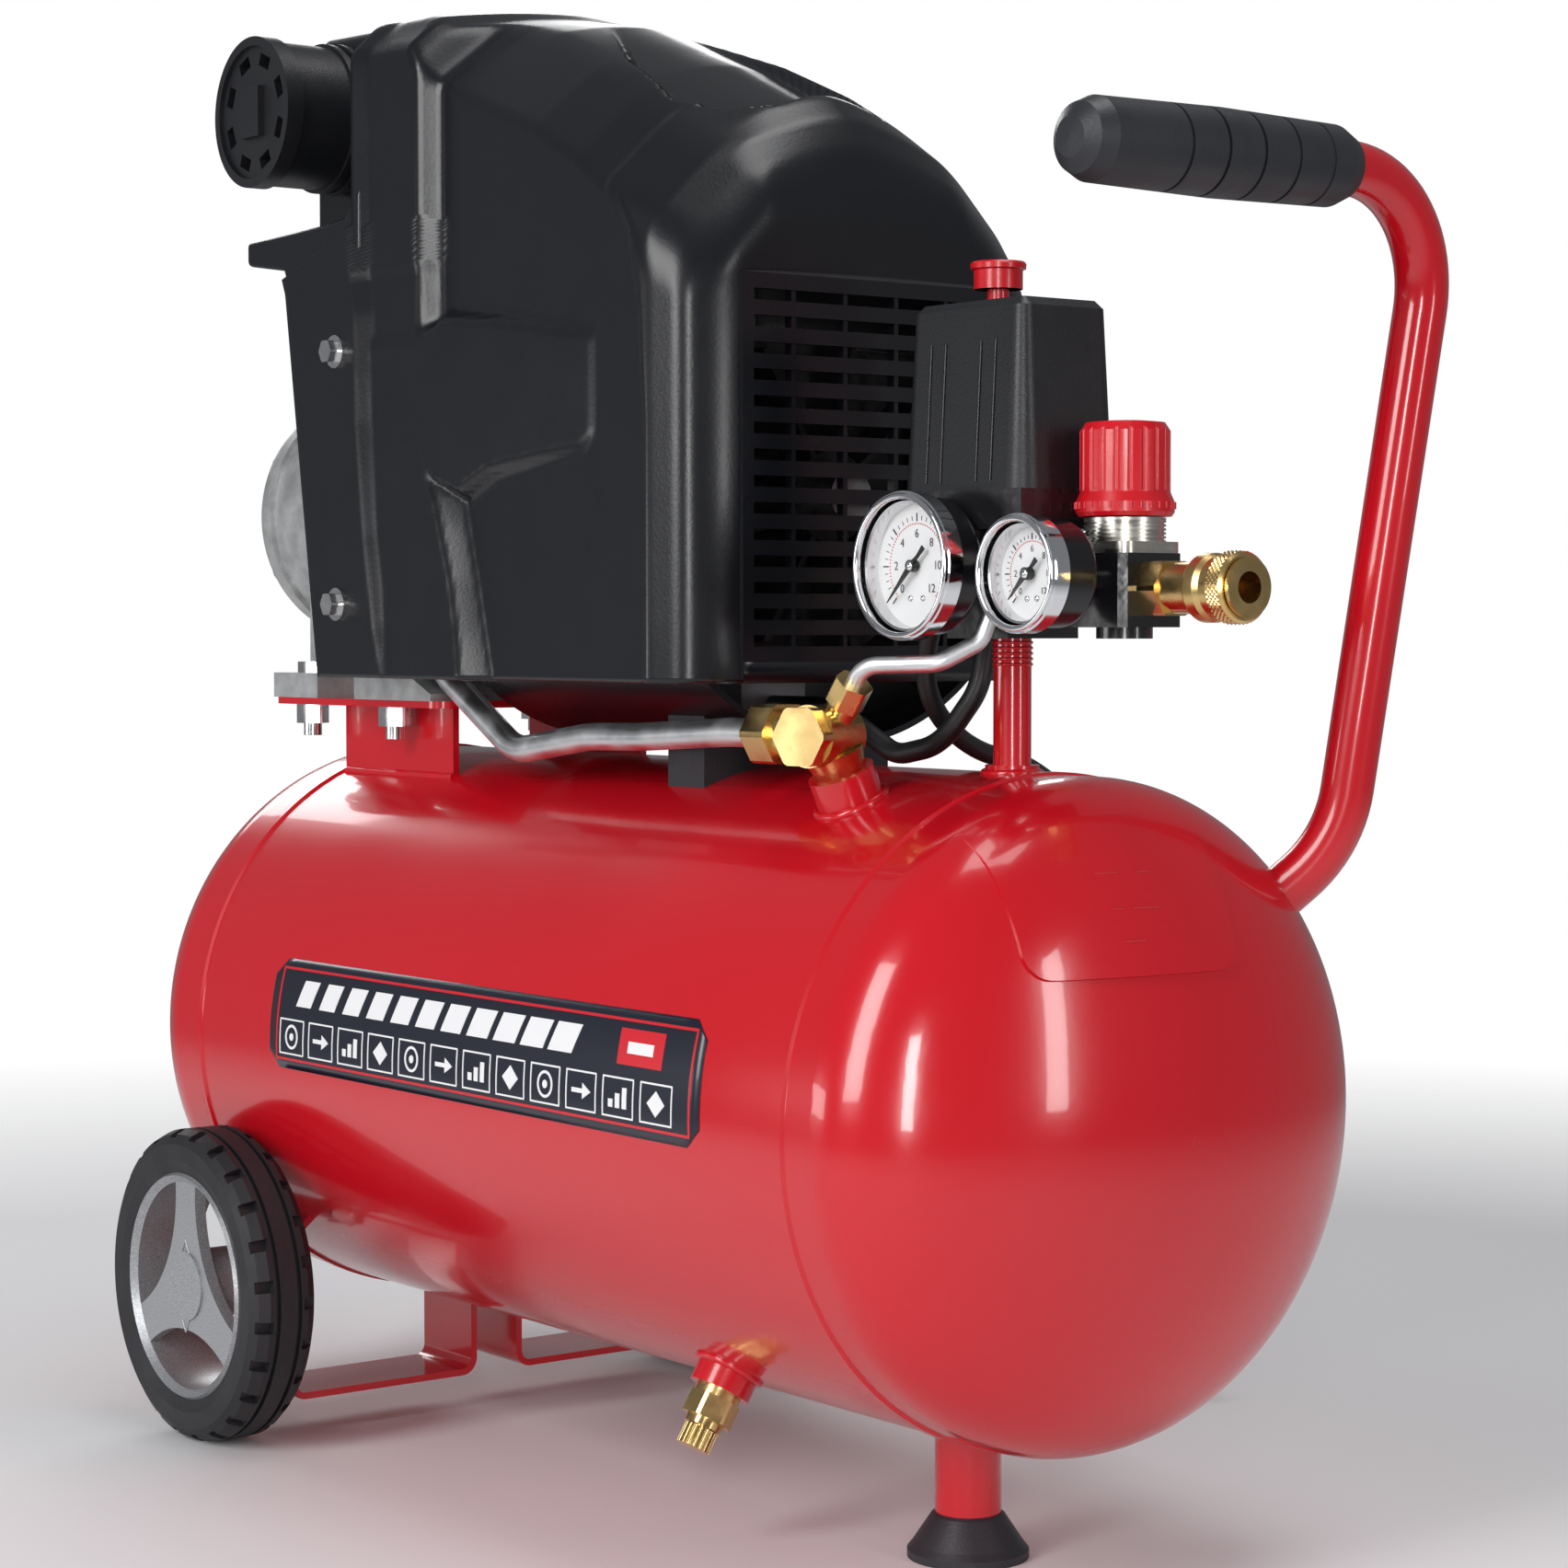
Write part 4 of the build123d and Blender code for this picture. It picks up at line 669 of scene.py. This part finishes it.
def ink(name, colour, rough):
    """Printed film under a thin lacquer."""
    finish = Finish(name, colour, rough, coat=0.3)
    finish.bump(finish.noise(60, 1), 0.0001, 0.15)
    return finish.material


decal_navy = ink("print_navy", (0.006, 0.008, 0.02), 0.28)
decal_red = ink("print_red", (0.62, 0.01, 0.02), 0.3)
decal_white = ink("print_white", (0.85, 0.85, 0.86), 0.35)


def recolour(obj, material):
    """Gives a piece a material of its own in place of its slot's."""
    obj.data.materials.clear()
    obj.data.materials.append(material)


def printed(name, outlines, height, material):
    """Flat outlines in (station, degrees) wrapped onto the tank as thin prints, a height above its skin."""
    verts, faces = [], []
    for points in outlines:
        first = len(verts)
        for x, turn in points:
            a = math.radians(turn)
            for r in (TANK_R + height, TANK_R + height - PRINT_THICK):
                verts.append(at(x, -r * math.cos(a), TANK_Z + r * math.sin(a)))
        n = len(points)
        faces.append(tuple(first + 2 * i for i in range(n)))
        for i in range(n):
            ahead = 2 * ((i + 1) % n)
            faces.append((first + 2 * i, first + 2 * i + 1, first + ahead + 1, first + ahead))
    obj = piece(name, verts, faces, "tank_paint", smooth=False)
    recolour(obj, material)
    closed_normals(obj)


def wrapped_panel(name, x0, x1, low, high, corner, height, material):
    """A rectangle with rounded corners on the tank's skin."""
    verts, faces = [], []

    def edge_inset(t, reach):
        d = max(0.0, corner - t * reach, corner - (1 - t) * reach)
        return corner - math.sqrt(max(0.0, corner * corner - d * d))

    for i in range(PANEL_COLUMNS + 1):
        t = i / PANEL_COLUMNS
        x = x0 + (x1 - x0) * t
        inset = edge_inset(t, x1 - x0) * DEGREE
        for j in range(PANEL_ROWS + 1):
            a = math.radians(low + inset + (high - low - 2 * inset) * j / PANEL_ROWS)
            r = TANK_R + height
            verts.append(at(x, -r * math.cos(a), TANK_Z + r * math.sin(a)))
    for i in range(PANEL_COLUMNS):
        for j in range(PANEL_ROWS):
            a = i * (PANEL_ROWS + 1) + j
            b = a + PANEL_ROWS + 1
            faces.append((a, b, b + 1, a + 1))
    obj = piece(name, verts, faces, "tank_paint")
    recolour(obj, material)
    sheet = obj.modifiers.new("sheet", "SOLIDIFY")
    sheet.thickness = 0.00012
    sheet.offset = 1


def bar_outline(x0, x1, low, high, lean=0.0):
    """A bar in (station, degrees), its sides split so that it follows the tank, leaning along the tank."""

    def corner(x, i):
        return x + lean * i / BAR_STEPS, low + (high - low) * i / BAR_STEPS

    return [corner(x0, i) for i in range(BAR_STEPS + 1)] + [corner(x1, i) for i in range(BAR_STEPS, -1, -1)]


def frame_outline(x0, x1, low, high, width, tall):
    """The four bars of a rectangular frame."""
    return [
        bar_outline(x0, x1, low, low + tall), bar_outline(x0, x1, high - tall, high),
        bar_outline(x0, x0 + width, low, high), bar_outline(x1 - width, x1, low, high),
    ]


def ring_outline(x, turn, radius, width=1.1):
    """A small ring in (station, degrees), as a run of short bars."""
    parts = []
    for k in range(RING_STEPS):
        corners = []
        for r, step in ((radius, k), (radius, k + 1), (radius - width, k + 1), (radius - width, k)):
            a = 2 * math.pi * step / RING_STEPS
            corners.append((x + r * math.cos(a), turn + r * DEGREE * math.sin(a)))
        parts.append(corners)
    return parts


def symbol(kind, x):
    """A plain generic figure centred on a station of the decal's lower row."""
    if kind == 0:                           # ring with a dot
        return ring_outline(x, 2.3, 5.2) + ring_outline(x, 2.3, 1.6, 1.5)
    if kind == 1:                           # arrow
        return [bar_outline(x - 6, x + 1, 1.9, 2.7), [(x + 1, 0.9), (x + 6.5, 2.3), (x + 1, 3.7)]]
    if kind == 2:                           # rising bars
        return [bar_outline(x - 6 + 4.4 * m, x - 3.2 + 4.4 * m, 0.5, 1.9 + 1.1 * m) for m in range(3)]
    # diamond
    return [[(x, 0.1), (x + 5.5, 2.3), (x, 4.5), (x - 5.5, 2.3)]]


wrapped_panel("decal_ground", *DECAL_X, *DECAL_TURN, 7, GROUND_HEIGHT, decal_navy)
printed("decal_border", frame_outline(-139, 159, -2.4, 15.9, 1.2, 0.5), PRINT_HEIGHT, decal_red)
stripes = []
for k in range(STRIPES):
    left = -124 + STRIPE_PITCH * k
    stripes.append(bar_outline(left, left + STRIPE_W + k * 0.4, 8.4, 13.6, lean=5))
printed("decal_stripes", stripes, PRINT_HEIGHT, decal_white)
printed("decal_block", [bar_outline(112, 140, 8.0, 14.2)], PRINT_HEIGHT, decal_red)
printed("decal_block_bar", [bar_outline(118, 134, 10.0, 12.0)], UPPER_PRINT_HEIGHT, decal_white)
frames, figures = [], []
for k in range(BOXES):
    left = -136 + BOX_PITCH * k
    frames += frame_outline(left, left + BOX_W, -1.2, 5.8, 0.7, 0.32)
    figures += symbol(k % 4, left + BOX_W / 2)
printed("decal_boxes", frames, PRINT_HEIGHT, decal_white)
printed("decal_symbols", figures, PRINT_HEIGHT, decal_white)


# ------------------------------------------------------------------ gauge dials
RISER_X = 191.0
REGULATOR_X = 251.0
TANK_GAUGE = (RISER_X, -45.0, 371.0, 23.2)             # x, y and z of the dial's middle, and its radius
LINE_GAUGE = (REGULATOR_X, -43.0, 367.5, 17.2)
BEZEL_AHEAD = 9.0                                     # of the dial
NUMBERS = 6
RED_MARKS, LIMIT_MARKS = 60, 40


def dial_marks(name, x, y, z, radius):
    """Scale marks, generic numbers, a red arc and two small screws on a dial that faces -Y."""
    start, sweep = math.radians(225), math.radians(270)

    def strokes(count, outer, inner, half, finish_slot, tag, first=0.0, last=1.0):
        verts, faces = [], []
        for k in range(count + 1):
            a = start - sweep * (first + (last - first) * k / count)
            across = (-math.sin(a) * half, math.cos(a) * half)
            base = len(verts)
            for depth in (0.16, 0.0):
                for r, side in ((inner, -1), (outer, -1), (outer, 1), (inner, 1)):
                    px = x + r * math.cos(a) + across[0] * side
                    pz = z + r * math.sin(a) + across[1] * side
                    verts.append(at(px, y - depth, pz))
            faces += [(base, base + 1, base + 2, base + 3), (base + 7, base + 6, base + 5, base + 4)]
            faces += [(base + i, base + 4 + i, base + 4 + (i + 1) % 4, base + (i + 1) % 4) for i in range(4)]
        closed_normals(piece(f"{name}_{tag}", verts, faces, finish_slot, smooth=False))

    strokes(NUMBERS * 5, radius * 0.78, radius * 0.71, 0.12, "needle_black", "fine")
    strokes(NUMBERS, radius * 0.82, radius * 0.69, 0.26, "needle_black", "bold")
    strokes(RED_MARKS, radius * 0.665, radius * 0.645, 0.22, "red_plastic", "inner")
    strokes(LIMIT_MARKS, radius * 0.97, radius * 0.91, 0.6, "red_plastic", "limit", 0.8, 1.0)
    for k in range(NUMBERS + 1):
        a = start - sweep * k / NUMBERS
        data = bpy.data.curves.new(f"{name}_number_{k}", "FONT")
        data.body = str(2 * k)
        data.size = radius * 0.19 * MM
        data.align_x = "CENTER"
        data.align_y = "CENTER"
        data.extrude = 0.00006
        text = bpy.data.objects.new(f"{name}_number_{k}", data)
        scene.collection.objects.link(text)
        text.location = at(x + radius * 0.5 * math.cos(a), y - 0.08, z + radius * 0.5 * math.sin(a))
        text.rotation_euler = (math.radians(90), 0, 0)
        data.materials.append(finishes["needle_black"])
        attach(text, "frame")
    for side in (-1, 1):
        lathe(
            f"{name}_screw_{side + 1}", (x + side * radius * 0.15, y, z - radius * 0.5), (0, -1, 0),
            [(0, 0.7), (0.7, 0.62), (1.1, 0.3), (1.2, 0.0)], "chrome",
        )


dial_marks("tank_dial", *TANK_GAUGE)
dial_marks("line_dial", *LINE_GAUGE)
for name, (x, y, z, radius) in (("tank", TANK_GAUGE), ("line", LINE_GAUGE)):
    lathe(
        f"{name}_needle_hub", (x, y - 3.4, z), (0, -1, 0), [(0, 1.0), (1.1, 0.95), (1.7, 0.5), (1.9, 0)],
        "chrome", f"{name}_needle",
    )
    # the needle's counterweight, opposite to zero
    a = math.radians(45)
    ahead, across = (math.cos(a), math.sin(a)), (-math.sin(a), math.cos(a))
    tail = [(2.0, -0.45), (radius * 0.4, -0.95), (radius * 0.4, 0.95), (2.0, 0.45)]
    verts = [
        at(x + ahead[0] * r + across[0] * s, y - depth, z + ahead[1] * r + across[1] * s)
        for depth in (2.9, 2.3) for r, s in tail
    ]
    faces = [(0, 1, 2, 3), (7, 6, 5, 4)] + [(i, i + 4, (i + 1) % 4 + 4, (i + 1) % 4) for i in range(4)]
    closed_normals(piece(f"{name}_needle_tail", verts, faces, "needle_black", f"{name}_needle", smooth=False))
    bead = radius + 2.0
    curve_piece(
        f"{name}_bezel_bead",
        [at(x + bead * c, y - BEZEL_AHEAD + 0.6, z + bead * q) for c, q in circle(24)],
        0.0012, "chrome", cyclic=True,
    )
    lathe(
        f"{name}_bezel_inside", (x, y, z), (0, -1, 0),
        [
            (radius - 0.35, 0.1), (radius - 0.3, 4.6), (radius + 0.5, 5.2), (radius + 0.5, 5.4),
            (radius - 0.7, 4.9), (radius - 1.2, 0.1),
        ],
        "ring_steel", ring=True,
    )

# ------------------------------------------------------------------ pressure switch details
SWITCH_FRONT_Y, SWITCH_FOOT_Z = -33.0, 398          # the foot of the cover's front face, which leans back
SWITCH_TAPER = math.tan(math.radians(3))
RIB_LOW, RIB_HIGH = 401.0, 451.0
for k, x in enumerate((181.0, 189.0, 208.5, 216.5)):
    face = [SWITCH_FRONT_Y + SWITCH_TAPER * (z - SWITCH_FOOT_Z) for z in (RIB_LOW, RIB_HIGH)]
    rib = [
        at(x, face[0] - 0.2, RIB_LOW), at(x, sum(face) / 2 - 0.2, (RIB_LOW + RIB_HIGH) / 2),
        at(x, face[1] - 0.2, RIB_HIGH),
    ]
    curve_piece(f"switch_rib_{k}", rib, 0.0005, "gauge_plastic")

lathe(
    "switch_knob_cap", (186.0, -3.0, 472.3), (0, 0, 1),
    [
        (0, 0.2), (8.6, 0.2), (8.8, 1.2), (8.8, 7.0), (10.2, 7.6), (10.3, 9.4), (9.6, 10.2), (7.6, 10.4),
        (7.2, 9.6), (0, 9.6),
    ],
    "red_plastic", "switch_knob", 48,
)

# ------------------------------------------------------------------ regulator and riser details
THREADS, THREAD_PITCH, THREAD_Z, THREAD_R = 5, 2.0, 335.5, 7.15
for i in range(THREADS):
    z = THREAD_Z + THREAD_PITCH * i
    curve_piece(
        f"riser_thread_{i}", [at(RISER_X + THREAD_R * c, THREAD_R * q, z) for c, q in circle(16)],
        0.0006, "tank_paint", cyclic=True,
    )
KNOB_MARKS, KNOB_R = 30, 17.55
for i in range(KNOB_MARKS):
    a = 2 * math.pi * i / KNOB_MARKS
    dx, dy = math.cos(a), math.sin(a)
    curve_piece(
        f"regulator_mark_{i}",
        [at(REGULATOR_X + KNOB_R * dx, KNOB_R * dy, z) for z in (390.6, 391.8, 393.0)],
        0.0005, "red_plastic", "regulator_knob",
    )

# ------------------------------------------------------------------ coupler sleeve knurling
KNURLS, KNURL_ROWS, KNURL_X, KNURL_PITCH = 44, 6, 304.4, 0.95
KNURL_R, KNURL_TIP_R, COUPLER_Z = 12.35, 12.8, 362.5
KNURL_WIDE, KNURL_TURN = 0.9, 0.068                  # half of a knurl's size, in mm and radians
# along the axis, round it, and out from it: a knurl's four feet and its tip
knurl = [
    (-KNURL_WIDE, 0, KNURL_R), (0, KNURL_TURN, KNURL_R), (KNURL_WIDE, 0, KNURL_R), (0, -KNURL_TURN, KNURL_R),
    (0, 0, KNURL_TIP_R),
]
verts, faces = [], []
for j in range(KNURL_ROWS):
    for k in range(KNURLS):
        a = 2 * math.pi * (k + 0.5 * (j % 2)) / KNURLS
        x = KNURL_X + KNURL_PITCH * j
        base = len(verts)
        for dx, da, r in knurl:
            verts.append(at(x + dx, r * math.cos(a + da), COUPLER_Z + r * math.sin(a + da)))
        faces += [(base + i, base + (i + 1) % 4, base + 4) for i in range(4)]
        faces.append((base + 3, base + 2, base + 1, base))
closed_normals(piece("coupler_knurling", verts, faces, "brass", "coupler_sleeve", smooth=False))

# ------------------------------------------------------------------ wheel hub badges
WHEEL_X, WHEEL_Z, HUB_FACE_Y = -180, 67, 145.1
BADGE_WIDE, BADGE_TALL = 11, 20
BADGE = [(0, 1), (1, 0.05), (0, -1), (-1, -0.05)]
rhombus = [(WHEEL_X + BADGE_WIDE * u, WHEEL_Z + BADGE_TALL * w) for u, w in BADGE]
for side, body in ((-1, "wheel_left"), (1, "wheel_right")):
    y = side * HUB_FACE_Y
    for k in range(4):
        (x0, z0), (x1, z1) = rhombus[k], rhombus[(k + 1) % 4]
        curve_piece(
            f"{body}_badge_{k}", [at(x0, y, z0), at((x0 + x1) / 2, y, (z0 + z1) / 2), at(x1, y, z1)],
            0.0005, "wheel_silver", body,
        )

# ------------------------------------------------------------------ weld beads
BEAD_COUNT = 22


def weld(name, points, radius, cyclic=True):
    """A bead along points on the tank's skin, in mm."""
    curve_piece(name, [at(*p) for p in points], radius * MM, "tank_paint", cyclic=cyclic)


def ring_on_tank(x, lean, radius, up=1):
    """Points of a circle laid on the barrel round a fitting that leans from vertical; up is -1 underneath."""
    r = TANK_R + 0.3
    points = []
    for k in range(BEAD_COUNT):
        t = 2 * math.pi * k / BEAD_COUNT
        a = math.radians(lean) + radius * math.sin(t) / TANK_R
        points.append((x + radius * math.cos(t), -r * math.sin(a), TANK_Z + up * r * math.cos(a)))
    return points


weld("riser_weld", ring_on_tank(RISER_X, 0, 10.4), 1.5)
weld("valve_weld", ring_on_tank(158, 23.7, 13.2), 1.7)
weld("drain_weld", ring_on_tank(104, 32, 12.7, up=-1), 1.6)
weld("foot_weld", ring_on_tank(167, 0, 13.0, up=-1), 1.6)
BRACKET_Y, BRACKET_X, BRACKET_BEADS = 50.5, -203, 11
bracket_z = TANK_Z + math.sqrt(TANK_R ** 2 - BRACKET_Y ** 2) + 0.4
for side in (-1, 1):
    bead = []
    for k in range(BRACKET_BEADS):
        waver = 0.5 * math.sin(2.3 * k)
        bead.append((BRACKET_X + 9 * k, side * (BRACKET_Y - 0.4) + waver, bracket_z))
    weld(f"bracket_weld_{side + 1}", bead, 2.0, cyclic=False)

# raised generic marks on the head's stamp pad
HEAD_X, HEAD_DEPTH = 227.5, 61                        # where the dished head begins, and its depth
PAD_Y, PAD_Z, PAD_PROUD = -18, 256, 1.45
PAD_MARKS = [(-6, 8, 10), (10, 8, 7), (-6, -4, 5), (6, -4, 12), (-2, -15, 9)]      # place and width
for k, (dy, dz, wide) in enumerate(PAD_MARKS):
    z = PAD_Z + dz
    points = []
    for w in (-0.5, 0, 0.5):
        y = PAD_Y + dy + wide * w
        inside = 1 - (y ** 2 + (z - TANK_Z) ** 2) / TANK_R ** 2
        points.append(at(HEAD_X + HEAD_DEPTH * math.sqrt(inside) + PAD_PROUD, y, z))
    curve_piece(f"pad_mark_{k}", points, 0.0005, "tank_paint")
